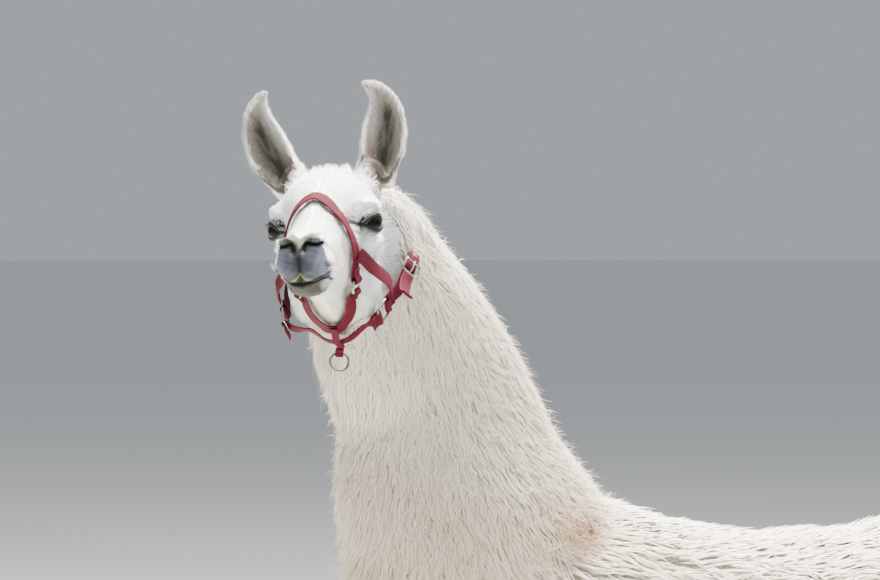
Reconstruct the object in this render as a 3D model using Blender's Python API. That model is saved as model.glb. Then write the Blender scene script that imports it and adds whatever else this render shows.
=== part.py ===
"""A life-size standing llama that looks to its left, in a webbing halter, as closed solids.

Metres, +Z up. The llama faces -Y and its left side is +X. The flesh, out to the tips of the coat, is lofted
limb by limb, fused and smoothed as one body, and then parted by thin cuts into head, jaw, neck, trunk,
tail and lengths of leg. Ears, eyes, toenails and the halter are made on their own and meet that body with a
small gap.
"""

import math
from dataclasses import dataclass, replace

import bmesh
import bpy
from mathutils import Matrix, Vector
from mathutils.bvhtree import BVHTree

# Driving dimensions. The withers, on top of the coat, stand over Y = 0 until the last step.
POLL = Vector((0.045, -0.362, 1.5525))  # top of the skull between the ears, the head frame's origin
HEAD_TURN = math.radians(63)  # to the llama's left
HEAD_NOD = math.radians(1.5)  # muzzle raised
HEAD_ROLL = math.radians(-4.5)  # left ear higher than the right
GAP = 0.0003  # between neighbouring solids

# Resolution of the fused body.
VOXEL = 0.004
SMOOTHING_ROUNDS = 10
BODY_ROUNDS = 60  # further rounds away from the head and feet
FLESH_FACES = 3330  # after thinning
FINE_HEAD, FINE_FEET, FINE_BODY = 0.80, 0.16, 0.04  # how much shorter edges are kept
EVENNESS = 0.008  # of the edges' lengths, against how flat the surface is

# Height or distance of the cuts that part the body.
SOLE_CUT = 0.0007
BELLY_CUT = 0.615
KNEE_CUT = 0.365
HOCK_CUT = 0.445
PASTERN_CUT = 0.078
TAIL_CUT = 0.822

# Halter webbing and its metal.
WEB_WIDTH = 0.019
WEB_THICK = 0.0024
TAB_WIDTH = 0.010
WEB_LIFT = 0.0018  # clear of the coat under it
WIRE = 0.0019  # radius of a ring's wire

COAT_WHITE = ("coat_white", (0.86, 0.83, 0.76), 0.9, 0.0)
COAT_SHORT = ("coat_short", (0.88, 0.87, 0.85), 0.85, 0.0)
EYE_DARK = ("eye_dark", (0.02, 0.016, 0.014), 0.08, 0.0)
NAIL_HORN = ("nail_horn", (0.10, 0.085, 0.075), 0.45, 0.0)
WEBBING = ("webbing_red", (0.42, 0.035, 0.09), 0.7, 0.0)
METAL = ("halter_metal", (0.62, 0.58, 0.50), 0.32, 1.0)


@dataclass(frozen=True)
class Section:
    """A cross-section of a lofted form.

    Lofts run from nose to tail and from top to toe, so that `over` is the back or the rear of a limb and
    `under` its front. Powers over 2 make that half boxier. `turn` swings the section about Z.
    """

    at: tuple
    wide: float
    over: float
    under: float
    upper: float = 2.0
    lower: float = 2.0
    turn: float = 0.0


def head_frame() -> Matrix:
    """The head's own frame: X to its left, -Y along the face and Z up, with the origin on the poll."""
    turn = Matrix.Rotation(HEAD_TURN, 4, "Z")
    nod = Matrix.Rotation(-HEAD_NOD, 4, "X")
    roll = Matrix.Rotation(HEAD_ROLL, 4, "Y")
    return Matrix.Translation(POLL) @ turn @ nod @ roll


HEAD = head_frame()

# Distances forward of the poll are negative Y in the head frame.
SKULL = [
    Section((0, -0.309, -0.114), 0.010, 0.010, 0.012, 2.0, 2.0),
    Section((0, -0.303, -0.117), 0.024, 0.019, 0.024, 2.2, 2.2),
    Section((0, -0.290, -0.122), 0.0330, 0.0265, 0.034, 2.3, 2.2),
    Section((0, -0.268, -0.122), 0.0370, 0.0360, 0.050, 2.3, 2.1),
    Section((0, -0.240, -0.117), 0.0385, 0.0420, 0.057, 2.2, 2.0),
    Section((0, -0.205, -0.108), 0.0385, 0.0485, 0.070, 1.75, 1.9),
    Section((0, -0.170, -0.098), 0.0420, 0.0560, 0.092, 1.65, 1.8),
    Section((0, -0.145, -0.090), 0.0490, 0.0610, 0.115, 1.8, 1.8),
    Section((0, -0.120, -0.083), 0.0590, 0.0650, 0.137, 2.1, 1.8),
    Section((0, -0.090, -0.077), 0.0660, 0.0690, 0.153, 2.5, 1.9),
    Section((0, -0.050, -0.072), 0.0690, 0.0705, 0.163, 2.4, 2.0),
    Section((0, -0.010, -0.072), 0.0680, 0.0720, 0.155, 2.2, 2.0),
    Section((0, 0.030, -0.080), 0.0600, 0.0670, 0.115, 2.0, 2.0),
    Section((0, 0.062, -0.090), 0.0370, 0.0420, 0.062, 2.0, 2.0),
]

NECK = [
    Section((0.034, -0.335, 1.500), 0.072, 0.080, 0.070, turn=45),
    Section((0.026, -0.312, 1.457), 0.086, 0.104, 0.090, turn=36),
    Section((0.020, -0.292, 1.402), 0.094, 0.120, 0.112, turn=26),
    Section((0.010, -0.265, 1.348), 0.098, 0.134, 0.132, turn=16),
    Section((0.004, -0.236, 1.293), 0.102, 0.141, 0.138, turn=8),
    Section((0.000, -0.207, 1.239), 0.107, 0.144, 0.146),
    Section((0.000, -0.190, 1.184), 0.116, 0.155, 0.161),
    Section((0.000, -0.176, 1.130), 0.130, 0.168, 0.176),
    Section((0.000, -0.155, 1.075), 0.147, 0.180, 0.194),
    Section((0.000, -0.120, 1.000), 0.162, 0.190, 0.226),
    Section((0.000, -0.060, 0.900), 0.150, 0.150, 0.210),
    Section((0.000, -0.010, 0.850), 0.110, 0.110, 0.120),
]

TRUNK = [
    Section((0, -0.352, 0.935), 0.030, 0.035, 0.035),
    Section((0, -0.336, 0.930), 0.085, 0.090, 0.100),
    Section((0, -0.295, 0.915), 0.132, 0.135, 0.170),
    Section((0, -0.220, 0.890), 0.170, 0.170, 0.215),
    Section((0, -0.120, 0.875), 0.192, 0.198, 0.238, 2.1, 2.0),
    Section((0, 0.000, 0.870), 0.206, 0.226, 0.245, 2.1, 2.1),
    Section((0, 0.060, 0.868), 0.213, 0.228, 0.243, 2.1, 2.1),
    Section((0, 0.140, 0.865), 0.222, 0.206, 0.238, 2.2, 2.2),
    Section((0, 0.285, 0.860), 0.236, 0.185, 0.230, 2.3, 2.2),
    Section((0, 0.335, 0.860), 0.240, 0.186, 0.225, 2.3, 2.2),
    Section((0, 0.375, 0.862), 0.242, 0.189, 0.218, 2.3, 2.2),
    Section((0, 0.460, 0.866), 0.238, 0.181, 0.200, 2.3, 2.2),
    Section((0, 0.560, 0.875), 0.226, 0.194, 0.172, 2.3, 2.2),
    Section((0, 0.660, 0.880), 0.206, 0.184, 0.150, 2.2, 2.1),
    Section((0, 0.735, 0.880), 0.170, 0.152, 0.135, 2.1, 2.0),
    Section((0, 0.780, 0.875), 0.110, 0.104, 0.100),
    Section((0, 0.798, 0.872), 0.040, 0.045, 0.045),
]

TAIL = [
    Section((0, 0.740, 0.985), 0.040, 0.032, 0.040),
    Section((0, 0.800, 1.005), 0.044, 0.036, 0.042),
    Section((0, 0.850, 0.990), 0.048, 0.040, 0.040),
    Section((0, 0.885, 0.940), 0.052, 0.042, 0.040),
    Section((0, 0.895, 0.870), 0.052, 0.040, 0.040),
    Section((0, 0.892, 0.800), 0.042, 0.032, 0.032),
    Section((0, 0.885, 0.745), 0.020, 0.018, 0.018),
    Section((0, 0.882, 0.728), 0.006, 0.006, 0.006),
]

# Legs are given for the left side, and mirrored for the right.
FORELEG = [
    Section((0.105, -0.105, 0.980), 0.055, 0.070, 0.070),
    Section((0.122, -0.085, 0.860), 0.080, 0.112, 0.110),
    Section((0.124, -0.045, 0.740), 0.074, 0.100, 0.096),
    Section((0.117, -0.014, 0.650), 0.064, 0.078, 0.074),
    Section((0.109, -0.010, 0.560), 0.053, 0.060, 0.061),
    Section((0.103, -0.016, 0.460), 0.044, 0.047, 0.050),
    Section((0.101, -0.020, 0.390), 0.041, 0.040, 0.046),
    Section((0.100, -0.018, 0.345), 0.038, 0.037, 0.042),
    Section((0.100, -0.012, 0.290), 0.031, 0.034, 0.032),
    Section((0.099, -0.010, 0.190), 0.0290, 0.033, 0.030),
    Section((0.099, -0.008, 0.125), 0.0330, 0.038, 0.032),
    Section((0.099, -0.020, 0.080), 0.0330, 0.035, 0.033),
    Section((0.099, -0.034, 0.050), 0.0340, 0.034, 0.036),
]

HINDLEG = [
    Section((0.095, 0.600, 1.000), 0.070, 0.100, 0.100),
    Section((0.128, 0.605, 0.880), 0.094, 0.162, 0.142),
    Section((0.136, 0.588, 0.770), 0.090, 0.154, 0.124),
    Section((0.133, 0.578, 0.680), 0.074, 0.120, 0.096),
    Section((0.124, 0.600, 0.600), 0.058, 0.088, 0.070),
    Section((0.117, 0.645, 0.510), 0.045, 0.058, 0.053),
    Section((0.113, 0.676, 0.440), 0.040, 0.048, 0.046),
    Section((0.111, 0.680, 0.390), 0.037, 0.039, 0.041),
    Section((0.110, 0.674, 0.310), 0.0305, 0.033, 0.031),
    Section((0.109, 0.664, 0.200), 0.0290, 0.033, 0.030),
    Section((0.108, 0.658, 0.125), 0.0330, 0.038, 0.032),
    Section((0.108, 0.644, 0.080), 0.0330, 0.035, 0.033),
    Section((0.108, 0.628, 0.050), 0.0340, 0.034, 0.036),
]

# One toe of a foot: offsets from the middle of the foot, whose sole is at Z = 0.
TOE = [
    Section((0.0175, 0.004, 0.074), 0.015, 0.022, 0.022),
    Section((0.0200, -0.006, 0.048), 0.0195, 0.032, 0.033, 2.2, 2.2),
    Section((0.0215, -0.011, 0.024), 0.0205, 0.038, 0.042, 2.3, 2.3),
    Section((0.0215, -0.012, 0.006), 0.0200, 0.037, 0.043, 2.4, 2.4),
    Section((0.0215, -0.011, -0.006), 0.0160, 0.030, 0.034, 2.4, 2.4),
]

FORE_STEP = {1: -0.012, -1: 0.030}  # how far each forefoot stands behind its shoulder, by side
HIND_STEP = {1: 0.022, -1: -0.020}
SIDES = {"left": 1, "right": -1}


def world(point) -> Vector:
    """A point of the head frame in the llama's frame."""
    return HEAD @ Vector(point)


def catmull(values: list, t: float):
    """Value at t, from 0 at the first to len - 1 at the last, of a smooth curve through values."""
    i = min(int(t), len(values) - 2)
    f = t - i
    a, b, c, d = (values[min(max(i + k, 0), len(values) - 1)] for k in (-1, 0, 1, 2))
    return 0.5 * (2 * b + (c - a) * f + (2 * a - 5 * b + 4 * c - d) * f**2 + (3 * b - a - 3 * c + d) * f**3)


def between(sections: list, t: float) -> Section:
    """The section at t, interpolated in every value."""

    def number(name: str) -> float:
        return catmull([getattr(s, name) for s in sections], t)

    centre = catmull([Vector(s.at) for s in sections], t)
    return Section(
        tuple(centre),
        number("wide"),
        number("over"),
        number("under"),
        number("upper"),
        number("lower"),
        number("turn"),
    )


def ring(bm: bmesh.types.BMesh, section: Section, along: Vector, sides: int) -> list:
    """Adds a closed loop of vertices round a section that faces `along`, and returns its edges."""
    side = Matrix.Rotation(math.radians(section.turn), 3, "Z") @ Vector((1, 0, 0))
    side = (side - along * side.dot(along)).normalized()
    over = side.cross(along).normalized()
    made = bmesh.ops.create_circle(bm, segments=sides, radius=1, cap_ends=False)["verts"]
    for vert in made:
        c, s = vert.co.x, vert.co.y
        power, reach = (section.upper, section.over) if s >= 0 else (section.lower, section.under)
        c = math.copysign(abs(c) ** (2 / power), c)
        s = math.copysign(abs(s) ** (2 / power), s)
        vert.co = Vector(section.at) + side * (section.wide * c) + over * (reach * s)
    return list({edge for vert in made for edge in vert.link_edges})


def loft(sections: list, steps: int, sides: int = 24) -> bmesh.types.BMesh:
    """A closed form through the sections, with `steps` rings from one to the next."""
    bm = bmesh.new()
    count = (len(sections) - 1) * steps
    loops = []
    for i in range(count + 1):
        t = i / steps
        last = len(sections) - 1
        ahead, behind = (Vector(between(sections, min(max(t + d, 0), last)).at) for d in (0.1, -0.1))
        loops.append(ring(bm, between(sections, t), (ahead - behind).normalized(), sides))
    for first, second in zip(loops, loops[1:]):
        bmesh.ops.bridge_loops(bm, edges=first + second)
    for loop in (loops[0], loops[-1]):
        bmesh.ops.holes_fill(bm, edges=loop, sides=0)
    bmesh.ops.recalc_face_normals(bm, faces=bm.faces)
    return bm


def ellipsoid(centre, radii, turn: Matrix = None) -> bmesh.types.BMesh:
    """A stretched sphere, turned by `turn` about its centre."""
    bm = bmesh.new()
    matrix = Matrix.Translation(Vector(centre)) @ (turn or Matrix()) @ Matrix.Diagonal((*radii, 1))
    bmesh.ops.create_uvsphere(bm, u_segments=24, v_segments=14, radius=1, matrix=matrix)
    return bm


def moved(sections: list, shift, mirror: bool = False) -> list:
    """Sections shifted, and mirrored in X if asked."""
    sign = -1 if mirror else 1
    return [
        replace(
            s, at=(sign * (s.at[0] + shift[0]), s.at[1] + shift[1], s.at[2] + shift[2]), turn=sign * s.turn
        )
        for s in sections
    ]


def stepped(sections: list, step: float, mirror: bool) -> list:
    """A leg whose foot stands `step` behind its resting place, the leg following more the lower it is."""
    top, bottom = sections[0].at[2], sections[-1].at[2]
    swung = []
    for one in sections:
        x, y, z = one.at
        swung.append(replace(one, at=(x, y + step * ((top - z) / (top - bottom)) ** 1.5, z)))
    return moved(swung, (0, 0, 0), mirror)


def head_forms() -> list:
    """The masses of the head, in the head's frame."""
    forms = [loft(SKULL, 3)]
    for sign in SIDES.values():
        tilt = Matrix.Rotation(sign * math.radians(-28), 4, "Z")
        forms += [
            ellipsoid((sign * 0.0555, -0.098, -0.055), (0.022, 0.033, 0.016), tilt),  # brow
            ellipsoid((sign * 0.0540, -0.095, -0.102), (0.019, 0.038, 0.014), tilt),  # cheekbone
            ellipsoid((sign * 0.0430, -0.055, -0.150), (0.022, 0.055, 0.060)),  # cheek
            ellipsoid((sign * 0.0500, -0.004, -0.014), (0.024, 0.028, 0.030)),  # foot of the ear
            ellipsoid((sign * 0.0180, -0.285, -0.102), (0.0160, 0.020, 0.0125), tilt),  # wing of the nose
            ellipsoid((sign * 0.0190, -0.282, -0.127), (0.0200, 0.0270, 0.0190), tilt),  # half of the lip
        ]
    forms.append(ellipsoid((0, -0.268, -0.154), (0.0270, 0.0300, 0.0190)))  # lower lip and chin
    return forms


def body_forms() -> list:
    """Every mass of the body but the ears, in the llama's frame."""
    forms = []
    for form in head_forms():
        form.transform(HEAD)
        forms.append(form)
    forms += [loft(NECK, 4), loft(TRUNK, 3, 32), loft(TAIL, 3)]
    for sign in SIDES.values():
        for leg, step in ((FORELEG, FORE_STEP[sign]), (HINDLEG, HIND_STEP[sign])):
            forms.append(loft(stepped(leg, step, sign < 0), 3))
            last = stepped(leg, step, sign < 0)[-1].at
            for toe_sign in (1, -1):
                toe = moved(TOE, (0, 0, 0), toe_sign < 0)
                forms.append(loft(moved(toe, (last[0], last[1], 0)), 3, 16))
    return forms


def new_object(name: str, bm: bmesh.types.BMesh) -> bpy.types.Object:
    """Turns a bmesh into an object of the scene."""
    mesh = bpy.data.meshes.new(name)
    bm.to_mesh(mesh)
    bm.free()
    obj = bpy.data.objects.new(name, mesh)
    bpy.context.scene.collection.objects.link(obj)
    return obj


def joined(forms: list) -> bmesh.types.BMesh:
    """One bmesh that holds several, which are freed."""
    whole = bmesh.new()
    for form in forms:
        mesh = bpy.data.meshes.new("form")
        form.to_mesh(mesh)
        form.free()
        whole.from_mesh(mesh)
        bpy.data.meshes.remove(mesh)
    return whole


def applied(obj: bpy.types.Object) -> bmesh.types.BMesh:
    """The object's mesh with its modifiers applied. The object is removed."""
    bpy.context.view_layer.update()
    evaluated = obj.evaluated_get(bpy.context.evaluated_depsgraph_get())
    bm = bmesh.new()
    bm.from_mesh(evaluated.to_mesh())
    evaluated.to_mesh_clear()
    bpy.data.objects.remove(obj)
    return bm


def press(bm: bmesh.types.BMesh, centre, radii, push) -> None:
    """Moves the surface near a point of the head frame by `push`, fading out over the radii."""
    at, inverse = Vector(centre), HEAD.inverted()
    shift = HEAD.to_3x3() @ Vector(push)
    for vert in bm.verts:
        away = inverse @ vert.co - at
        reach = sum((away[k] / radii[k]) ** 2 for k in range(3))
        if reach < 6:
            vert.co += shift * math.exp(-reach)


MUZZLE_ASIDE = -0.0060  # the muzzle's middle beside the skull's, towards the right


def shape_face(bm: bmesh.types.BMesh) -> None:
    """Turns the muzzle a little aside, then sinks nostrils, cleft, mouth's corners and eyes' hollows in."""
    press(bm, (0, -0.300, -0.130), (0.060, 0.055, 0.060), (MUZZLE_ASIDE, 0, 0))
    for sign in SIDES.values():
        nostril = (sign * 0.0165 + MUZZLE_ASIDE, -0.302, -0.1045)
        press(bm, nostril, (0.009, 0.014, 0.0050), (-sign * 0.001, 0.0065, 0))
        press(bm, (sign * 0.0400, -0.236, -0.1330), (0.012, 0.014, 0.0060), (-sign * 0.003, 0, 0))
        press(bm, (sign * 0.0525, -0.150, -0.0770), (0.018, 0.026, 0.0150), (-sign * 0.006, 0.002, 0))
        press(bm, (sign * 0.0690, -0.120, -0.0790), (0.024, 0.024, 0.0115), (-sign * 0.007, 0.007, 0))
    press(bm, (MUZZLE_ASIDE, -0.312, -0.130), (0.0045, 0.02, 0.014), (0, 0.0045, 0))


def detail(point: Vector) -> tuple:
    """How far a point belongs to the head and to the feet, each from 0 to 1."""
    local = HEAD.inverted() @ point + Vector((0, 0.16, 0.10))
    return math.exp(-((max(local.length - 0.17, 0) / 0.05) ** 2)), math.exp(-((point.z / 0.12) ** 2))


def weigh(obj: bpy.types.Object, name: str, weight) -> None:
    """Adds a vertex group, weighed by how far a vertex belongs to the head and to the feet."""
    group = obj.vertex_groups.new(name=name)
    for vert in obj.data.vertices:
        group.add([vert.index], weight(*detail(vert.co)), "REPLACE")


def fused_body() -> bmesh.types.BMesh:
    """The whole body as one smooth closed mesh of few faces, finest on the head."""
    obj = new_object("body", joined(body_forms()))
    remesh = obj.modifiers.new("fuse", "REMESH")
    remesh.mode, remesh.voxel_size = "VOXEL", VOXEL
    smooth = obj.modifiers.new("smooth", "SMOOTH")
    smooth.factor, smooth.iterations = 0.5, SMOOTHING_ROUNDS
    obj = new_object("body", applied(obj))
    weigh(obj, "soft", lambda head, feet: 1 - max(head, feet))
    soften = obj.modifiers.new("soften", "SMOOTH")
    soften.factor, soften.iterations, soften.vertex_group = 0.5, BODY_ROUNDS, "soft"
    bm = applied(obj)
    shape_face(bm)
    # The soles are cut before the faces are thinned out, to keep the feet's shape, and again to lie level.
    obj = new_object("body", half(bm, Vector((0, 0, 0)), Vector((0, 0, 1))))
    weigh(obj, "coarse", lambda head, feet: 1 - max(FINE_BODY, FINE_HEAD * head, FINE_FEET * feet))
    thin = obj.modifiers.new("thin", "DECIMATE")
    thin.ratio = FLESH_FACES / (2 * len(obj.data.polygons))
    thin.vertex_group, thin.vertex_group_factor = "coarse", EVENNESS
    return half(applied(obj), Vector((0, 0, SOLE_CUT)), Vector((0, 0, 1)))


def half(bm: bmesh.types.BMesh, point: Vector, normal: Vector) -> bmesh.types.BMesh:
    """The part of a closed mesh on the side of a plane that the normal points to, closed again."""
    geometry = bm.verts[:] + bm.edges[:] + bm.faces[:]
    cut = bmesh.ops.bisect_plane(
        bm, geom=geometry, plane_co=point, plane_no=normal, clear_inner=True, dist=1e-6
    )
    rim = [item for item in cut["geom_cut"] if isinstance(item, bmesh.types.BMEdge)]
    bmesh.ops.triangle_fill(bm, use_beauty=True, use_dissolve=False, edges=rim)
    bmesh.ops.recalc_face_normals(bm, faces=bm.faces)
    return bm


def part_by(bm: bmesh.types.BMesh, point, normal) -> tuple:
    """Both sides of a thin plane cut, the side that the normal points to first. The bmesh is freed."""
    point, normal = Vector(point), Vector(normal).normalized()
    far = half(bm.copy(), point + normal * GAP, normal)
    near = half(bm, point - normal * GAP, -normal)
    return far, near


def islands(bm: bmesh.types.BMesh) -> list:
    """The separate bodies of a bmesh, each as its own. The bmesh is freed."""
    bm.faces.ensure_lookup_table()
    left, found = set(range(len(bm.faces))), []
    while left:
        queue = [left.pop()]
        group = set(queue)
        while queue:
            for edge in bm.faces[queue.pop()].edges:
                near = {face.index for face in edge.link_faces} & left
                left -= near
                group |= near
                queue += near
        part = bm.copy()
        part.faces.ensure_lookup_table()
        others = [part.faces[i] for i in range(len(part.faces)) if i not in group]
        bmesh.ops.delete(part, geom=others, context="FACES")
        found.append(part)
    bm.free()
    return found


def boolean(obj: bpy.types.Object, other: bpy.types.Object, operation: str) -> None:
    """Adds an exact Boolean with a helper that isn't part of the llama."""
    other.hide_render = True
    other.display_type = "WIRE"
    cut = obj.modifiers.new(operation.lower(), "BOOLEAN")
    cut.operation, cut.solver, cut.object = operation, "EXACT", other


def jaw_region(grown: float) -> bpy.types.Object:
    """A prism across the head below the line of the mouth, its upper edge raised by `grown`."""
    line = [(-0.34, -0.1430), (-0.275, -0.1425), (-0.232, -0.1330), (-0.170, -0.147), (-0.105, -0.175)]
    line.append((-0.055, -0.245))
    outline = [*line, (-0.055, -0.32), (-0.34, -0.32)]
    bm = bmesh.new()
    verts = [bm.verts.new((-0.12, y + grown * (i > 3), z + grown)) for i, (y, z) in enumerate(outline)]
    face = bm.faces.new(verts)
    run = bmesh.ops.extrude_face_region(bm, geom=[face])["geom"]
    bmesh.ops.translate(bm, vec=(0.24, 0, 0), verts=[v for v in run if isinstance(v, bmesh.types.BMVert)])
    bmesh.ops.recalc_face_normals(bm, faces=bm.faces)
    bm.transform(HEAD)
    return new_object("jaw_region", bm)


EYE_AT = {name: Vector((sign * 0.0560, -0.1075, -0.0785)) for name, sign in SIDES.items()}
EYE_RADIUS = 0.0190


def eyeball(name: str, side: str, grown: float = 0.0) -> bpy.types.Object:
    """An eye, or with `grown` the socket that clears it."""
    bm = bmesh.new()
    matrix = HEAD @ Matrix.Translation(EYE_AT[side])
    bmesh.ops.create_uvsphere(bm, u_segments=12, v_segments=8, radius=EYE_RADIUS + grown, matrix=matrix)
    return new_object(name, bm)


@dataclass(frozen=True)
class EarStation:
    """A cross-section of an ear: where its middle lies, half its width and half the angle of its curl."""

    at: tuple
    half: float
    curl: float


EAR = [
    EarStation((-0.002, 0.004, -0.012), 0.019, 128),
    EarStation((0.000, 0.003, 0.004), 0.0220, 122),
    EarStation((0.003, 0.002, 0.025), 0.0270, 106),
    EarStation((0.005, 0.003, 0.049), 0.0285, 92),
    EarStation((0.006, 0.005, 0.074), 0.0265, 80),
    EarStation((0.003, 0.006, 0.096), 0.0205, 70),
    EarStation((-0.006, 0.004, 0.112), 0.0140, 60),
    EarStation((-0.017, 0.000, 0.121), 0.0080, 50),
    EarStation((-0.028, -0.003, 0.124), 0.0022, 40),
]
EAR_BASE = Vector((0.060, -0.004, -0.012))
EAR_LEAN = {"left": math.radians(7), "right": math.radians(23)}  # outwards
EAR_BACK = math.radians(6)
EAR_OPENS = math.radians(6)  # the opening's swing outwards from straight ahead
EAR_THICK = 0.0062
EAR_ROWS, EAR_COLUMNS = 9, 5


def ear_point(side: str, s: float, t: float) -> Vector:
    """A point of the ear's middle surface, in the head frame.

    s runs from the root at 0 to the tip at 1, and t from the inner edge at -1 to the outer edge at 1.
    """
    sign, last = SIDES[side], len(EAR) - 1
    at = catmull([Vector(e.at) for e in EAR], s * last)
    middles = [Vector(e.at) for e in EAR]
    ahead, behind = (catmull(middles, min(max(s * last + d, 0), last)) for d in (0.2, -0.2))
    across = Vector((0, 1, 0)).cross(ahead - behind).normalized()
    half_width = catmull([e.half for e in EAR], s * last)
    curl = math.radians(catmull([e.curl for e in EAR], s * last))
    radius = half_width / math.sin(min(curl, math.pi / 2))
    depth = radius * (0.55 - (1 - math.cos(t * curl)))
    local = at + across * (radius * math.sin(t * curl)) + Vector((0, depth, 0))
    local.x *= sign
    turn = Matrix.Rotation(sign * EAR_LEAN[side], 3, "Y") @ Matrix.Rotation(-EAR_BACK, 3, "X")
    turn = turn @ Matrix.Rotation(sign * EAR_OPENS, 3, "Z")
    return Vector((sign * EAR_BASE.x, EAR_BASE.y, EAR_BASE.z)) + turn @ local


def ear(side: str) -> bpy.types.Object:
    """A curled, pointed ear, hollow to the front, as a shell."""
    bm = bmesh.new()
    grid = bmesh.ops.create_grid(bm, x_segments=EAR_COLUMNS, y_segments=EAR_ROWS, size=1)["verts"]
    for vert in grid:
        vert.co = world(ear_point(side, (vert.co.y + 1) / 2, vert.co.x))
    bmesh.ops.recalc_face_normals(bm, faces=bm.faces)
    obj = new_object("ear_" + side, bm)
    shell = obj.modifiers.new("shell", "SOLIDIFY")
    shell.thickness, shell.offset = EAR_THICK, 0.0
    return obj


def grown_copy(bm: bmesh.types.BMesh, name: str, by: float) -> bpy.types.Object:
    """A helper copy of a mesh with every vertex moved out along its normal."""
    copy = bm.copy()
    copy.normal_update()
    for vert, normal in [(v, v.normal.copy()) for v in copy.verts]:
        vert.co += normal * by
    return new_object(name, copy)


def material(spec: tuple) -> bpy.types.Material:
    """The Principled material that a spec of name, colour, roughness and metal names."""
    name, colour, rough, metal = spec
    made = bpy.data.materials.get(name)
    if made is None:
        made = bpy.data.materials.new(name)
        made.use_nodes = True
        shader = made.node_tree.nodes["Principled BSDF"]
        shader.inputs["Base Color"].default_value = (*colour, 1)
        shader.inputs["Roughness"].default_value = rough
        shader.inputs["Metallic"].default_value = metal
    return made


def dress(obj: bpy.types.Object, spec: tuple) -> None:
    """Gives a finished piece its material."""
    obj.data.materials.clear()
    obj.data.materials.append(material(spec))


def nail(name: str, foot: Vector, toe_sign: int) -> bpy.types.Object:
    """A short down-curved toenail in front of one toe."""
    sections = [
        Section((0.0215, -0.040, 0.0290), 0.0090, 0.0070, 0.0070),
        Section((0.0215, -0.051, 0.0245), 0.0115, 0.0090, 0.0080, 2.2, 2.2),
        Section((0.0212, -0.060, 0.0165), 0.0095, 0.0085, 0.0080, 2.2, 2.2),
        Section((0.0205, -0.066, 0.0085), 0.0055, 0.0055, 0.0060),
        Section((0.0200, -0.0685, 0.0040), 0.0018, 0.0020, 0.0020),
    ]
    placed = moved(moved(sections, (0, 0, 0), toe_sign < 0), (foot.x, foot.y, 0))
    return new_object(name, loft(placed, 1, 6))


def build_llama() -> None:
    """Makes the flesh, ears, eyes and nails, and the halter that lies on them."""
    whole = fused_body()
    channel = build_halter(Coat(BVHTree.FromBMesh(whole)))
    clear_of_body = grown_copy(whole, "clear_of_body", GAP * 1.5)

    head, rest = part_by(whole.copy(), world((0, 0.030, -0.10)), HEAD.to_3x3() @ Vector((0, -0.86, 0.50)))
    neck, rest = part_by(rest, (0, -0.115, 1.045), (0, -0.66, 0.75))
    tail, rest = part_by(rest, (0, TAIL_CUT, 0.95), (0, 1, 0.05))
    trunk, legs = part_by(rest, (0, 0, BELLY_CUT), (0, 0, 1))
    flesh = {"head_cut": head, "neck": neck, "tail": tail, "trunk": trunk}
    for leg in islands(legs):
        centre = sum((v.co for v in leg.verts), Vector()) / len(leg.verts)
        side = "left" if centre.x > 0 else "right"
        kind, knee = ("fore", KNEE_CUT) if centre.y < 0.3 else ("hind", HOCK_CUT)
        upper, lower = part_by(leg, (0, 0, knee), (0, 0, 1))
        lower, foot = part_by(lower, (0, 0, PASTERN_CUT), (0, 0, 1))
        for part, piece in (("upper", upper), ("lower", lower), ("foot", foot)):
            flesh[f"{kind}leg_{side}_{part}"] = piece
    for name, piece in flesh.items():
        if name != "head_cut":
            obj = new_object(name, piece)
            if name == "neck":
                boolean(obj, channel, "DIFFERENCE")
            dress(obj, COAT_SHORT if "lower" in name or "foot" in name else COAT_WHITE)

    sockets = [eyeball("socket_" + side, side, GAP * 1.5) for side in SIDES]
    skull = new_object("skull", head)
    for socket in sockets:
        boolean(skull, socket, "DIFFERENCE")
    carved = applied(skull)
    head_obj, jaw_obj = new_object("head", carved.copy()), new_object("lower_jaw", carved)
    boolean(head_obj, jaw_region(GAP), "DIFFERENCE")
    boolean(jaw_obj, jaw_region(-GAP), "INTERSECT")
    boolean(head_obj, channel, "DIFFERENCE")
    for obj in (head_obj, jaw_obj):
        dress(obj, COAT_SHORT)
    for side in SIDES:
        dress(eyeball("eye_" + side, side), EYE_DARK)
        shell = ear(side)
        boolean(shell, clear_of_body, "DIFFERENCE")
        dress(shell, COAT_SHORT)
        for kind, leg, step in (("fore", FORELEG, FORE_STEP), ("hind", HINDLEG, HIND_STEP)):
            sign = SIDES[side]
            foot = Vector(stepped(leg, step[sign], sign < 0)[-1].at)
            for toe, toe_sign in (("outer", sign), ("inner", -sign)):
                claw = nail(f"nail_{kind}_{side}_{toe}", foot, toe_sign)
                boolean(claw, clear_of_body, "DIFFERENCE")
                dress(claw, NAIL_HORN)


# The halter's straps in the head frame for the left side: left of the middle, forward of the poll, and up.
# Each path is drawn onto the coat. The crown strap dips into the wool behind the jaw and stays in it.
NOSE_PATH = [(0.000, 0.180, -0.042), (0.026, 0.183, -0.062), (0.038, 0.175, -0.090), (0.042, 0.152, -0.120)]
NOSE_PATH += [(0.040, 0.143, -0.152)]
CHEEK_PATH = [(0.044, 0.144, -0.120), (0.051, 0.116, -0.132), (0.060, 0.086, -0.151), (0.072, 0.052, -0.168)]
CHIN_PATH = [(0.037, 0.130, -0.184), (0.032, 0.117, -0.200), (0.020, 0.104, -0.214), (0.000, 0.100, -0.222)]
THROAT_PATH = [(0.042, 0.068, -0.211), (0.030, 0.065, -0.222), (0.015, 0.064, -0.228)]
THROAT_PATH += [(0.000, 0.064, -0.230)]
CROWN_PATH = [(0.000, -0.058, -0.004), (0.046, -0.052, -0.018), (0.076, -0.034, -0.060)]
CROWN_PATH += [(0.092, -0.006, -0.105), (0.094, 0.018, -0.140), (0.082, 0.038, -0.166)]
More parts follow.
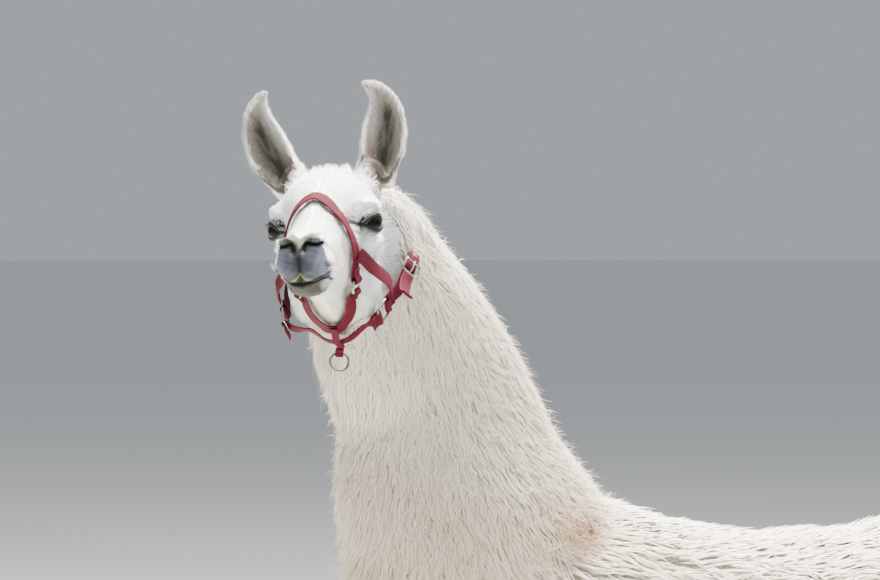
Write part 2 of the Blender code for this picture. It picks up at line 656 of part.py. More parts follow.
CROWN_PATH += [(0.066, 0.058, -0.184)]
TAB_PATH = [(0.000, 0.112, -0.220), (0.000, 0.082, -0.228), (0.000, 0.050, -0.232)]
SUNK_AT, SURFACED_AT = -0.106, -0.132  # heights between which the crown strap comes out of the wool
SUNK_DEPTH = 0.0085
CROWN_CORE = -0.105  # height of the middle of the crown strap's loop
NAPE_RISE = 0.003  # the most that a bump in the wool lifts the crown strap
RISES_FROM, RING_RISE = -0.160, 0.0022  # the crown strap's rise off the jaw below a height, at its ring
UNDER_RISES_FROM = -0.2135  # the same of the straps under the jaw
BUCKLE_AT = Vector((0.1, -0.018, -0.142))
# The loose end below the buckle, in the buckle's frame: along the crown strap, and away from it.
END_PATH = [(-0.0118, 0.0008), (-0.024, 0.0020), (-0.036, 0.0060), (-0.047, 0.0130), (-0.052, 0.0230)]
SEAM = 0.0008  # between layers of webbing, for the stitches
RING_INSIDE = WEB_WIDTH + 0.002
FRONT_RING, REAR_RING = 0.016, 0.026  # lengths along the straps
LEAD_RING = 0.026  # diameter


@dataclass
class Station:
    """One place along a strap: its middle, the way out from the coat and the way across it."""

    at: Vector
    out: Vector
    across: Vector


class Coat:
    """The outer surface of the body, for things to lie on."""

    def __init__(self, tree: BVHTree):
        self.tree = tree

    def station(self, point: Vector, ahead: Vector, lift: float, inside: Vector | None = None) -> Station:
        """A place over the coat, clear by `lift` under the whole width of a strap.

        Args:
            point: The coat's nearest point to this is taken, or with `inside` the one that a look from
                beyond this towards `inside` meets first.
            ahead: The strap's own direction.
            lift: The clearance under the strap.
            inside: A point within the body.
        """
        near, normal = self.tree.find_nearest(point)[:2]
        if inside is not None:
            near, normal = self.tree.ray_cast(inside + (point - inside) * 2, inside - point)[:2]
        out = (normal - ahead * normal.dot(ahead)).normalized()
        across = out.cross(ahead).normalized()
        rise = 0.0
        for step in (-1, -0.5, 0, 0.5, 1):
            edge = near + across * (step * WEB_WIDTH / 2)
            hit = self.tree.ray_cast(edge + out * 0.05, -out)[0]
            if hit is not None:
                rise = max(rise, (hit - near).dot(out))
        if inside is not None:
            rise = min(rise, NAPE_RISE)
        return Station(near + out * (rise + lift + WEB_THICK / 2), out, across)


def lay(
    coat: Coat,
    path: list,
    steps: int,
    sides: tuple = (1,),
    lift=lambda up: WEB_LIFT,
    core: float | None = None,
) -> list:
    """Stations of a strap laid on the coat along a path of the head frame, evened out so that it runs fair.

    Args:
        coat: What the strap lies on.
        path: Points left of the middle, forward of the poll and up. Sides (1, -1) go on to the path's mirror
            image, back from its last point to its first.
        steps: How many stations there are from one point to the next.
        sides: Which side's path, and whether it goes on to the other side's.
        lift: The clearance under the strap for a height in the head frame.
        core: Height of the middle that the hidden part of a loop is looked at from outside towards.
    """
    given = [(sides[0] * x, f, u) for x, f, u in path]
    if len(sides) > 1:
        given += [(sides[1] * x, f, u) for x, f, u in reversed(path[:-1])]
    count = (len(given) - 1) * steps
    line = [catmull([Vector((x, -f, u)) for x, f, u in given], i / steps) for i in range(count + 1)]
    ahead = [world(line[min(i + 1, count)]) - world(line[max(i - 1, 0)]) for i in range(count + 1)]
    hidden = [core is not None and q.z > SURFACED_AT for q in line]
    middles = [world(Vector((0, q.y, core))) if under else None for q, under in zip(line, hidden)]
    found = [coat.station(world(q), v.normalized(), lift(q.z), m) for q, v, m in zip(line, ahead, middles)]
    for _ in range(1 if core is None else 4):
        fair = []
        for i, one in enumerate(found):
            before, after = found[max(i - 1, 0)], found[min(i + 1, count)]
            out = (before.out + 2 * one.out + after.out).normalized()
            hollow = ((before.at + after.at) / 2 - one.at).dot(out)
            at = one.at + out * max(0.0, 0.5 * hollow) * (0 < i < count)
            fair.append(facing(at, out, after.at - before.at))
        found = fair
    return found


def facing(at: Vector, out: Vector, ahead: Vector) -> Station:
    """A station whose way out is squared to the way ahead."""
    ahead = ahead.normalized()
    out = (out - ahead * out.dot(ahead)).normalized()
    return Station(at, out, out.cross(ahead).normalized())


def turned_round(stations: list) -> list:
    """The same strap, run the other way."""
    return [Station(one.at, one.out, -one.across) for one in reversed(stations)]


def bend_radius(slack: float = 0.0007) -> float:
    """From the middle of a ring's wire to the middle of the webbing that goes round it."""
    return WIRE + slack + WEB_THICK / 2


def stitched(stations: list, reach: float, bend: float, curved: bool = False) -> list:
    """Ends a strap in a hairpin round a ring's bar over its last station, doubled back by `reach`.

    Args:
        stations: The strap so far.
        reach: How far it comes back over itself.
        bend: Radius of the hairpin.
        curved: Whether the doubled length follows the strap's curve, and isn't straight.
    """
    last = stations[-1]
    ahead = last.across.cross(last.out).normalized()
    centre = last.at + last.out * bend
    turned = []
    for angle in (60, 120, 180):
        radial = ahead * math.sin(math.radians(angle)) - last.out * math.cos(math.radians(angle))
        turned.append(Station(centre + radial * bend, -radial, last.across))
    for back in (0.007, reach):
        under = Station(last.at - ahead * back, last.out, last.across)
        if curved:
            under = back_along(stations, back)
        turned.append(Station(under.at + under.out * (WEB_THICK + SEAM), -under.out, under.across))
    return stations + turned


def back_along(stations: list, distance: float) -> Station:
    """The place at a distance before a strap's last station."""
    for one, before in zip(reversed(stations), reversed(stations[:-1])):
        step = (one.at - before.at).length
        if distance < step:
            return part_way(one, before, distance / step)
        distance -= step
    return stations[0]


def part_way(one: Station, other: Station, share: float) -> Station:
    """A place part of the way from one station to another along a straight strap."""
    out = one.out.lerp(other.out, share).normalized()
    across = one.across.lerp(other.across, share)
    return Station(one.at.lerp(other.at, share), out, (across - out * across.dot(out)).normalized())


def ring_beyond(station: Station, length: float) -> Matrix:
    """The frame of a ring held by a hairpin over a station: X across the strap, Y ahead, Z to the coat."""
    ahead = station.across.cross(station.out).normalized()
    origin = station.at + station.out * bend_radius() + ahead * (length / 2)
    return Matrix.Translation(origin) @ Matrix((station.across, ahead, -station.out)).transposed().to_4x4()


def under_far_bar(frame: Matrix, length: float) -> Station:
    """The last station of a strap that comes to a ring's other bar."""
    x, y, z = (frame.to_3x3().col[k] for k in range(3))
    return Station(frame.translation + y * (length / 2) + z * bend_radius(), -z, -x)


def closed(name: str, bm: bmesh.types.BMesh) -> bpy.types.Object:
    """An object from a closed surface, with its faces turned to look outwards."""
    bmesh.ops.recalc_face_normals(bm, faces=bm.faces)
    if bm.calc_volume(signed=True) < 0:
        bmesh.ops.reverse_faces(bm, faces=bm.faces)
    return new_object(name, bm)


def strap(name: str, stations: list, wide: float = WEB_WIDTH, thick: float = WEB_THICK) -> bpy.types.Object:
    """A strip of webbing through the stations, as a closed solid."""
    bm = bmesh.new()
    rows = []
    for one in stations:
        corners = [(-1, -1), (1, -1), (1, 1), (-1, 1)]
        places = [one.at + one.across * (u * wide / 2) + one.out * (v * thick / 2) for u, v in corners]
        verts = [bm.verts.new(place) for place in places]
        rows.append([bm.edges.new((verts[k], verts[k - 1])) for k in range(4)])
    for first, second in zip(rows, rows[1:]):
        bmesh.ops.bridge_loops(bm, edges=first + second)
    for row in (rows[0], rows[-1]):
        bmesh.ops.holes_fill(bm, edges=row, sides=4)
    return closed(name, bm)


def wire_ring(name: str, frame: Matrix, width: float, length: float, wire: float = WIRE) -> bpy.types.Object:
    """A ring of wire in the XY plane of a frame: a rounded rectangle, or round if it is square."""
    corner = min(width, length) / 2 if abs(width - length) < 1e-6 else 0.0035
    bm = bmesh.new()
    loops = []
    count = 12
    for i in range(count):
        quarter, part = divmod(i, count // 4)
        angle = math.pi / 2 * (quarter + (part / (count // 4 - (corner <= 0.004))))
        towards = math.pi / 4 + quarter * math.pi / 2
        mid = Vector((math.copysign(width / 2 - corner, math.cos(towards)), 0, 0))
        mid.y = math.copysign(length / 2 - corner, math.sin(towards))
        radial = Vector((math.cos(angle), math.sin(angle), 0))
        made = bmesh.ops.create_circle(bm, segments=5, radius=wire, cap_ends=False)["verts"]
        for vert in made:
            vert.co = mid + radial * (corner + vert.co.x) + Vector((0, 0, vert.co.y))
        loops.append(list({edge for vert in made for edge in vert.link_edges}))
    for first, second in zip(loops, loops[1:] + loops[:1]):
        bmesh.ops.bridge_loops(bm, edges=first + second)
    bm.transform(frame)
    return closed(name, bm)


def crown_lift(up: float) -> float:
    """Clearance of the crown strap: over the coat beside the jaw, most at its rings, then in the wool."""
    out = min(max((SUNK_AT - up) / (SUNK_AT - SURFACED_AT), 0.0), 1.0)
    at_ring = min(max((RISES_FROM - up) / 0.02, 0.0), 1.0)
    return WEB_LIFT - (1 - out) * (SUNK_DEPTH + WEB_THICK + WEB_LIFT) + at_ring * RING_RISE


def cheek_lift(up: float) -> float:
    """Clearance of the cheek strap, whose ends are sewn on top of the doubled noseband and crown strap."""
    over = WEB_LIFT + 2 * (WEB_THICK + SEAM) + SEAM
    if up < -0.150:
        return over + RING_RISE
    return over if up > -0.134 else over - 0.5 * WEB_THICK


def under_lift(up: float) -> float:
    """Clearance of the straps under the jaw, which rise to the rings that hold them."""
    return WEB_LIFT + SEAM + (RING_RISE if up > UNDER_RISES_FROM else 0)


def build_halter(coat: Coat) -> bpy.types.Object:
    """Makes the straps, rings and buckle, and returns the channel that the crown strap needs in the wool."""
    made = {}
    nose = lay(coat, list(reversed(NOSE_PATH)), 3, (1, -1))
    crown = lay(coat, list(reversed(CROWN_PATH)), 2, (1, -1), crown_lift, CROWN_CORE)
    rings = {}
    for name, stations in (("front", nose), ("rear", crown)):
        length = FRONT_RING if name == "front" else REAR_RING
        rings[name, "right"] = ring_beyond(stations[-1], length)
        rings[name, "left"] = ring_beyond(turned_round(stations)[-1], length)
    for (name, side), frame in rings.items():
        length = FRONT_RING if name == "front" else REAR_RING
        ring_object = wire_ring(f"halter_ring_{name}_{side}", frame, RING_INSIDE + 2 * WIRE, length)
        dress(ring_object, METAL)
    for name, path, ring_name, length in (
        ("halter_chin_strap", CHIN_PATH, "front", FRONT_RING),
        ("halter_throat_strap", THROAT_PATH, "rear", REAR_RING),
    ):
        run = lay(coat, path, 2, (1, -1), under_lift)
        for side in ("right", "left"):
            run = turned_round([*run, under_far_bar(rings[ring_name, side], length)])
        made[name] = run
    made["halter_noseband"], made["halter_crown_strap"] = nose, crown
    for name, stations in made.items():
        reach = 0.010 if name == "halter_chin_strap" else 0.016
        for _ in SIDES:
            stations = turned_round(stitched(stations, reach, bend_radius(), name == "halter_crown_strap"))
        dress(strap(name, stations), WEBBING)
    for side, sign in SIDES.items():
        dress(strap("halter_cheek_strap_" + side, lay(coat, CHEEK_PATH, 2, (sign,), cheek_lift)), WEBBING)
    slack = bend_radius(0.0018)
    tab = lay(coat, TAB_PATH, 2, lift=lambda up: WEB_LIFT + WEB_THICK + 5 * SEAM)
    dress(strap("halter_tab", stitched(tab, 0.012, slack), TAB_WIDTH), WEBBING)
    lead = ring_beyond(tab[-1], 0)
    lead.translation = tab[-1].at + tab[-1].out * (slack + LEAD_RING / 2)
    lead = lead @ Matrix.Rotation(math.pi / 2, 4, "X")
    dress(wire_ring("halter_lead_ring", lead, LEAD_RING, LEAD_RING), METAL)
    buckle = ring_beyond(min(crown, key=lambda one: (HEAD.inverted() @ one.at - BUCKLE_AT).length), 0)
    dress(wire_ring("halter_buckle", buckle, RING_INSIDE + 2 * WIRE, 0.018), METAL)
    points = [buckle @ Vector((0, along, -away)) for along, away in END_PATH]
    loose = []
    for i in range(2 * len(points) - 1):
        ahead = catmull(points, min(i / 2 + 0.1, 4)) - catmull(points, max(i / 2 - 0.1, 0))
        loose.append(facing(catmull(points, i / 2), -buckle.to_3x3().col[2], ahead))
    dress(strap("halter_strap_end", loose), WEBBING)
    deep = [Station(one.at + one.out * 0.02, one.out, one.across) for one in crown]
    return strap("halter_channel", deep, WEB_WIDTH + 0.002, WEB_THICK + 0.042)


def clear_scene() -> None:
    """Removes whatever the file holds."""
    for obj in list(bpy.data.objects):
        bpy.data.objects.remove(obj)


def bottom_centre(objects: list) -> Vector:
    """Middle of the underside of the box round some objects, with their modifiers."""
    bpy.context.view_layer.update()
    graph = bpy.context.evaluated_depsgraph_get()
    corners = [Vector(c) for obj in objects for c in obj.evaluated_get(graph).bound_box]
    low = Vector(min(c[k] for c in corners) for k in range(3))
    high = Vector(max(c[k] for c in corners) for k in range(3))
    return Vector(((low.x + high.x) / 2, (low.y + high.y) / 2, low.z))


def main() -> None:
    """Builds the llama and stands it with the middle of its underside on the origin."""
    clear_scene()
    build_llama()
    root = bpy.data.objects.new("llama", None)
    pieces = list(bpy.context.scene.objects)
    bpy.context.scene.collection.objects.link(root)
    for obj in pieces:
        obj.parent = root
    root.location = -bottom_centre([obj for obj in pieces if not obj.hide_render])


main()
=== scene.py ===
"""The looks of a life-size white llama in a webbing halter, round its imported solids.

One skin takes the place of the flesh. Locks of wool and short hairs, as closed tapered prisms, grow from it
out to the surface of the solids. Eyes, lids, lashes, toenails, straps and rings are pieces of their own.

Two frames are used. The row's frame is the solids' own. The head's frame has its origin on the poll, X to the
animal's left, -Y forward along the face and Z up.
"""

import logging
import math
from collections import defaultdict
from dataclasses import dataclass, field, replace
from enum import Enum
from functools import cached_property
from typing import Callable, Optional, Sequence

import bmesh
import bpy
import numpy as np
from mathutils import Matrix, Vector
from mathutils.bvhtree import BVHTree
from mathutils.kdtree import KDTree


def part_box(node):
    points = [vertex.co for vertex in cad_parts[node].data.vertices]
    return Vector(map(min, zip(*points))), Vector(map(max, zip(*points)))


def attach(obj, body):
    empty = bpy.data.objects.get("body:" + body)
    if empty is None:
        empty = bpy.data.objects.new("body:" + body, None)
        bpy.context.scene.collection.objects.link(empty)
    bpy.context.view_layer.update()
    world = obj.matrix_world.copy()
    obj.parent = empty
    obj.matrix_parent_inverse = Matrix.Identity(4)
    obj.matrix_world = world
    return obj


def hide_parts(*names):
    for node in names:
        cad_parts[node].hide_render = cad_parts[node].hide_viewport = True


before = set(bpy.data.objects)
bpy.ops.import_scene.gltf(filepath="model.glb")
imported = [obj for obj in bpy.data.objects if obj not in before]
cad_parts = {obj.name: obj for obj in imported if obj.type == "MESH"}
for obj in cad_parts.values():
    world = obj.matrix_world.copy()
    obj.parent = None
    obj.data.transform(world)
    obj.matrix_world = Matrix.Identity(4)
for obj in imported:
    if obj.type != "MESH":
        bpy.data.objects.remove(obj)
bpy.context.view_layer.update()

log = logging.getLogger("llama")
Array = np.ndarray
Random = np.random.Generator
Field = Callable[[np.ndarray], np.ndarray]
Object, Mesh, Material = bpy.types.Object, bpy.types.Mesh, bpy.types.Material
ROOT = "root"
UV_MAP = "OFBake"
PATCH = 0.0022  # width of a tuft's patch on the map
# What the meshes carry for their finishes, by vertex.
TINT, BARE = "Tint", "Bare"
FROM_AXIS, ROUND, PUPIL = "FromAxis", "Round", "Pupil"
ALONG, ACROSS = "Along", "Across"
SIDES = {"left": 1, "right": -1}
UP = np.array([0.0, 0.0, 1.0])
HASH = np.array([73856093, 19349663, 83492791])  # primes that number the cells of a grid


class Slot(str, Enum):
    """Names of the material slots."""

    WOOL = "coat_white"
    SHORT = "coat_short"
    EYE = "eye_dark"
    HORN = "nail_horn"
    WEBBING = "webbing_red"
    METAL = "halter_metal"


# ---- numbers and fields


def unit(vectors: Array) -> Array:
    """Rows scaled to length one."""
    return vectors / np.maximum(np.linalg.norm(vectors, axis=-1, keepdims=True), 1e-12)


def ramp(low: float, high: float, value: Array) -> Array:
    """A smooth step from 0 at low to 1 at high. Low may be the larger."""
    t = np.clip((value - low) / (high - low), 0.0, 1.0)
    return t * t * (3 - 2 * t)


def bell(value: Array, width: float) -> Array:
    """A bell curve of a distance."""
    return np.exp(-((value / width) ** 2))


def mix(one: Array, other: Array, share: Array) -> Array:
    """Rows blended from one to the other."""
    share = np.asarray(share)[..., None]
    return np.asarray(one) * (1 - share) + np.asarray(other) * share


def painted(base: Array, *layers: tuple) -> Array:
    """Colours with others laid over them in turn, each given as a colour and its share at each place."""
    for colour, share in layers:
        base = mix(base, colour, share)
    return base


def columns(*values: float | Array) -> Array:
    """Rows made from columns, of which some may be single numbers."""
    return np.stack(np.broadcast_arrays(*values), 1).astype(float)


def blob(points: Array, middle: Sequence, reach: float | Sequence) -> Array:
    """A bell round a place, which may reach further along some axes than others."""
    return bell(np.linalg.norm((points - middle) / reach, axis=1), 1.0)


def ripple(points: Array, size: float, seed: int, waves: int = 7) -> Array:
    """A smooth random field, about -1 to 1.

    Args:
        points: Places, one to a row.
        size: Typical distance from one crest to the next.
        seed: Which field.
        waves: How many plane waves are added up.

    Returns:
        One value for each point.
    """
    rng = np.random.default_rng(seed)
    along = unit(rng.normal(size=(waves, 3))) * rng.uniform(0.6, 1.6, (waves, 1))
    phase = rng.uniform(0, 2 * np.pi, waves)
    return np.sin(points @ along.T * (2 * np.pi / size) + phase).sum(1) / math.sqrt(waves)


def away_from_line(points: Array, line: Array) -> Array:
    """Distance of each point from a line of joined straight stretches."""
    best = np.full(len(points), np.inf)
    for start, end in zip(line, line[1:]):
        along = end - start
        share = np.clip((points - start) @ along / max(along @ along, 1e-18), 0, 1)
        best = np.minimum(best, np.linalg.norm(points - start - share[:, None] * along, axis=1))
    return best


def indices_near(points: Array, line: Array, reach: float) -> Array:
    """Indices of the points in the box round a line, grown by a reach."""
    low, high = line.min(0) - reach, line.max(0) + reach
    return np.nonzero(((points > low) & (points < high)).all(1))[0]


def extended(line: Array) -> Array:
    """A line with one more point at each end, straight on."""
    return np.vstack([2 * line[0] - line[1], line, 2 * line[-1] - line[-2]])


def lengths(line: Array) -> Array:
    """How far along a line each of its points is."""
    return np.concatenate([[0], np.cumsum(np.linalg.norm(np.diff(line, axis=0), axis=1))])


def curve(points: Sequence, count: int) -> Array:
    """A smooth curve through points, at even steps of its parameter."""
    given = np.asarray(points, float)
    padded = extended(given)
    where = np.linspace(0, len(given) - 1, count)
    index = np.minimum(where.astype(int), len(given) - 2)
    t = (where - index)[:, None]
    a, b, c, d = (padded[index + k] for k in range(4))
    return 0.5 * (2 * b + (c - a) * t + (2 * a - 5 * b + 4 * c - d) * t**2 + (3 * b - a - 3 * c + d) * t**3)


# ---- the animal's frames and fields


class Hue:
    """Linear colours of the coat and of the naked skin."""

    CREAM = (0.90, 0.81, 0.68)
    WHITE = (0.90, 0.895, 0.88)
    # Painted light: the red fringe along the edge of the neck's shadow on the sunlit shoulder.
    SHADOW_EDGE_RED = (0.50, 0.27, 0.155)
    FOOT_DUST = (0.55, 0.47, 0.36)
    THROAT = (0.80, 0.77, 0.62)
    # Painted shade: bluish grey on the lower sides of the face.
    CHEEK_SHADE = (0.62, 0.665, 0.725)
    JAW_SPOT = (0.16, 0.13, 0.09)
    TEAR_STREAK = (0.045, 0.038, 0.032)
    # Painted shade under the eyes, and on the upper lids where the brows shade them.
    LOWER_LID_SHADE = (0.060, 0.057, 0.054)
    UPPER_LID_SHADE = (0.016, 0.015, 0.014)
    LID_EDGE = (0.010, 0.009, 0.008)
    BROW = (0.36, 0.36, 0.38)
    LIP_SIDE = (0.095, 0.105, 0.150)
    LIP_MIDDLE = (0.042, 0.050, 0.060)
    LIP_CLEFT = (0.013, 0.015, 0.022)
    LIP_LOW = (0.036, 0.042, 0.045)
    # Olive skin showing through the hair above the nostrils, with painted shade in the hollow over each
    # nostril's inner end.
    OLIVE_SHADE = (0.024, 0.026, 0.018)
    OLIVE = (0.075, 0.080, 0.068)
    OLIVE_TOP = (0.15, 0.152, 0.125)
    SEPTUM = (0.045, 0.048, 0.036)
    NOSTRIL_SHADE = (0.013, 0.014, 0.012)
    # Painted shade in the nostrils' openings, in the lip's cleft and in the gap at its lower end.
    NOSTRIL = (0.008, 0.009, 0.006)
    CLEFT = (0.008, 0.009, 0.012)
    CLEFT_END = (0.006, 0.006, 0.005)
    UNDER_LIP = (0.022, 0.021, 0.006)
    CHIN = (0.030, 0.027, 0.018)
    LIP_RIM = (0.17, 0.175, 0.085)
    # Painted shade in the slit of the mouth.
    MOUTH = (0.012, 0.011, 0.008)
    NOSE_MARKS = (0.36, 0.36, 0.37)
    EAR_INSIDE = (0.33, 0.30, 0.255)
    EAR_INNER_SIDE = (0.46, 0.44, 0.42)
    EAR_STREAK = (0.034, 0.029, 0.023)
    EAR_RIM = (0.91, 0.905, 0.89)
    EAR_MOUTH = (0.075, 0.066, 0.053)
    EAR_MOUTH_LOW = (0.24, 0.23, 0.22)
    EAR_MOUTH_EDGE = (0.40, 0.40, 0.40)
    EAR_PINK = (0.36, 0.13, 0.14)
    # Painted shade in the trough below each ear, darkest at its top.
    TROUGH_SHADE_LOW = (0.30, 0.29, 0.28)
    TROUGH_SHADE = (0.070, 0.060, 0.048)


# How far old wool on the chest and on the knees is warmed, by channel.
CHEST_WARMTH = (0.97, 0.91, 0.82)
KNEE_WARMTH = (0.95, 0.90, 0.82)


@dataclass(frozen=True)
class EarPose:
    """How one ear stands, in the head's frame."""

    side: str
    base: tuple = (0.060, -0.004, -0.012)
    lean_deg: float = 7.0
    back_deg: float = 6.0
    opens_deg: float = 6.0
    tall: float = 0.124
    # Height, shift of the middle outwards, shift back and half width of the curled blade, from root to tip.
    blade: tuple = (
        (-0.012, -0.002, 0.004, 0.019), (0.025, 0.003, 0.002, 0.027), (0.049, 0.005, 0.003, 0.0285),
        (0.074, 0.006, 0.005, 0.0265), (0.096, 0.003, 0.006, 0.0205), (0.112, -0.006, 0.004, 0.0140),
        (0.124, -0.028, -0.003, 0.0022),
    )
    curl_deg: tuple = (128, 106, 92, 80, 70, 60, 40)

    def turn(self) -> Array:
        """Rotation from the ear's own frame to the head's."""
        sign = SIDES[self.side]
        made = Matrix.Rotation(sign * math.radians(self.lean_deg), 3, "Y")
        made = made @ Matrix.Rotation(-math.radians(self.back_deg), 3, "X")
        return np.array(made @ Matrix.Rotation(sign * math.radians(self.opens_deg), 3, "Z"))

    def local(self, points: Array) -> Array:
        """Points of the head's frame in the ear's own, mirrored so that +X leads outwards."""
        mirror = np.array([SIDES[self.side], 1, 1])
        return ((points - self.base * mirror) @ self.turn()) * mirror

    def hollow(self, points: Array, normals: Array) -> tuple[Array, Array, Array, Array]:
        """Where points lie on the ear.

        Args:
            points: Places in the head's frame.
            normals: Their ways out, in the head's frame.

        Returns:
            For each point how much it faces into the hollow, from 0 to 1, how near it is to the rim, from 0
            to 1, its share of the ear's height, and where it is round the hollow, from -1 on the inner rim
            to 1.
        """
        x, y, z = self.local(points).T
        facing = (normals @ self.turn()) * np.array([SIDES[self.side], 1, 1])
        heights, shifts, backs, halves = np.array(self.blade).T
        middle, back, half, curl = (
            np.interp(z, heights, values) for values in (shifts, backs, halves, self.curl_deg)
        )
        half_curl = np.radians(curl)
        radius = half / np.sin(np.minimum(half_curl, np.pi / 2))
        out = np.stack([x - middle, y - back + 0.45 * radius], 1)
        around = np.arctan2(out[:, 0], out[:, 1]) / half_curl
        away = np.maximum(np.linalg.norm(out, axis=1), 1e-6)
        faces_in = ramp(0.05, 0.5, -(out * facing[:, :2]).sum(1) / away)
        inner = np.maximum(faces_in, ramp(0.92, 0.75, away / radius))
        tall = z / self.tall
        rim = ramp(0.76, 0.95, np.abs(around) - 0.10 * ramp(0.75, 0.95, tall)) * ramp(0.02, 0.16, tall)
        rim *= ramp(0.70, 0.88, away / radius)
        mouth = ramp(1.12, 1.30, np.abs(around)) * ramp(0.36, 0.26, tall) * ramp(1.35, 1.10, away / radius)
        return np.maximum(inner, mouth), rim * (1 - mouth), tall, around


@dataclass(frozen=True)
class Animal:
    """Places and fields of the llama that skin, coat and trimmings share."""

    turn_deg: float = 63.0  # of the head to its left
    nod_deg: float = 1.5
    roll_deg: float = -4.5
    eye: tuple = (0.0560, -0.1075, -0.0785)  # middle of the left eyeball, in the head's frame
    eye_radius: float = 0.0190
    muzzle_aside: float = -0.0060  # the muzzle's middle beside the skull's, at its front
    poll: tuple = (0.045, -0.362, 1.5525)  # from a point on the floor under the withers
    ear_coat: float = 0.0012  # depth of the coat on the ears
    strap_cover: float = 0.0062  # and over the sunken strap
    ears: tuple = (EarPose("left", lean_deg=7.0), EarPose("right", lean_deg=23.0))

    def axes(self) -> Array:
        """The head frame's axes, as columns."""
        turn = Matrix.Rotation(math.radians(self.turn_deg), 3, "Z")
        nod = Matrix.Rotation(-math.radians(self.nod_deg), 3, "X")
        return np.array(turn @ nod @ Matrix.Rotation(math.radians(self.roll_deg), 3, "Y"))

    def origin(self) -> Array:
        """The poll in the row's frame, worked out from where the eyes are."""
        found = []
        for side in SIDES:
            low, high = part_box("eye_" + side)
            found.append(np.array((low + high) / 2) - self.axes() @ self.eye_centre(side))
        return np.mean(found, axis=0)

    def to_head(self, points: Array) -> Array:
        """Points of the row's frame in the head's."""
        return (points - self.origin()) @ self.axes()

    def from_head(self, points: Array) -> Array:
        """Points of the head's frame in the row's."""
        return np.asarray(points, float) @ self.axes().T + self.origin()

    def to_withers(self, points: Array) -> Array:
        """Points of the row's frame counted from the floor under the withers."""
        return points - (self.origin() - np.array(self.poll))

    def eye_centre(self, side: str) -> Array:
        """Middle of an eyeball, in the head's frame."""
        return np.array([SIDES[side] * self.eye[0], *self.eye[1:]])

    def lid_gap(self, q: Array) -> Array:
        """Rough distance outside the nearer eye's opening, for points of the head's frame."""
        gaps = [LIDS.margin_gap(q - self.eye_centre(side), sign) for side, sign in SIDES.items()]
        return np.minimum(*gaps)

    def over_strap(self, points: Array) -> Array:
        """1 over the sunken part of the crown strap and 0 well beside it."""
        share = np.zeros(len(points))
        near = indices_near(points, self.sunken, 0.03)
        share[near] = ramp(0.024, 0.013, away_from_line(points[near], self.sunken))
        return share

    @cached_property
    def sunken(self) -> Array:
        """The middle line of the crown strap where the wool hides it."""
        middle = StrapPath.of("halter_crown_strap", Halter.width).middle
        return middle[self.to_head(middle)[:, 2] > SUNK_AT + 0.002]

    def headness(self, points: Array) -> Array:
        """1 on the head and 0 on the neck, with a soft edge behind the jaw."""
        q = self.to_head(points)
        _, y, z = q.T
        behind_ears = 0.042 * ramp(-0.052, -0.020, z)
        edge = -0.0072 + 0.162 * (z + 0.0626) + 0.30 * np.minimum(z + 0.147, 0) + behind_ears
        edge += 1.6 * np.minimum(z + 0.200, 0)
        near = ramp(0.30, 0.25, np.linalg.norm(q + [0, 0.12, 0.08], axis=1))
        return ramp(-0.011, 0.011, edge - y) * near

    def earness(self, points: Array) -> Array:
        """1 on the ears' blades and 0 below their roots and on the nape."""
        x, y, z = self.to_head(points).T
        blades = ramp(-0.004, 0.014, z) * ramp(0.022, 0.034, np.abs(x))
        return blades * ramp(0.060, 0.040, y)

    def ear_root(self, q: Array) -> Array:
        """1 round the roots of the ears, where their walls are thin, for points of the head's frame."""
        shares = []
        for x, y, z in (pose.local(q).T for pose in self.ears):
            shares.append(ramp(0.037, 0.029, np.hypot(x, y + 0.004)) * ramp(-0.027, -0.015, z))
        return np.maximum(*shares)

    def ear_mouth(self, q: Array) -> Array:
        """1 in the lower ends of the ears' hollows, down the skull, for points of the head's frame."""
        shares = []
        for own in (pose.local(q) for pose in self.ears):
            reach = np.interp(own[:, 2], *EAR_MOUTH_HALF.T)
            shares.append(ramp(reach + 0.0012, reach - 0.0012, away_from_line(own, EAR_MOUTH)))
        return np.maximum(*shares)

    def muzzle(self, q: Array) -> Array:
        """Points of the head's frame with X counted from the muzzle's own middle."""
        return q - columns(self.muzzle_aside * bell(q[:, 1] + 0.300, 0.055), 0, 0)

    def nakedness(self, q: Array) -> Array:
        """1 on the naked skin of nose and lips, for points of the head's frame."""
        m = self.muzzle(q)
        u, z = np.abs(m[:, 0]), m[:, 2]
        half = np.interp(z, *BARE_HALF.T) * np.where(m[:, 0] > 0, 1.0, 0.90)
        top = np.interp(u, *BARE_TOP.T)
        upper = ramp(half + 0.0015, half - 0.0025, u) * ramp(top + 0.0016, top - 0.0016, z)
        chin = ramp(-0.157, -0.152, z) * ramp(0.031, 0.020, u)
        return np.where(z < -0.150, chin, upper) * ramp(-0.252, -0.268, q[:, 1])

    def legness(self, points: Array) -> Array:
        """0 on the trunk, rising to 1 at and below the knees and hocks."""
        return ramp(0.62, 0.40, points[:, 2]) * (1 - self.headness(points))

    def coat_depth(self, points: Array) -> Array:
        """How deep the coat lies on the skin, in metres."""
        q, height = self.to_head(points), points[:, 2]
        x, y, z = q.T
        _, back, high = self.to_withers(points).T
        head = self.headness(points)
        face = 0.0030 + 0.0045 * ramp(-0.11, -0.02, y) - 0.0021 * ramp(-0.25, -0.292, y)
        neck = 0.0140 + 0.004 * ramp(1.40, 1.15, high)
        trunk = np.where(back > 0.78, 0.020, 0.022)
        wool = neck + (trunk - neck) * ramp(1.12, 0.98, high + 0.35 * back)
        wool = wool + (0.0045 - wool) * self.legness(points)
        wool = wool + (0.0022 - wool) * ramp(0.09, 0.05, height)
        depth = wool + (face - wool) * head
        poll = ramp(-0.034, -0.014, z) * ramp(0.044, 0.032, np.abs(x))
        depth = depth + 0.0055 * poll * ramp(-0.085, -0.055, y) * head
        thin = np.maximum(np.maximum(self.earness(points), self.ear_mouth(q)), self.ear_root(q))
        depth = depth + (self.ear_coat - depth) * thin
        depth = depth + (np.minimum(depth, self.strap_cover) - depth) * self.over_strap(points)
        return depth * ramp(0.0, 0.010, height)

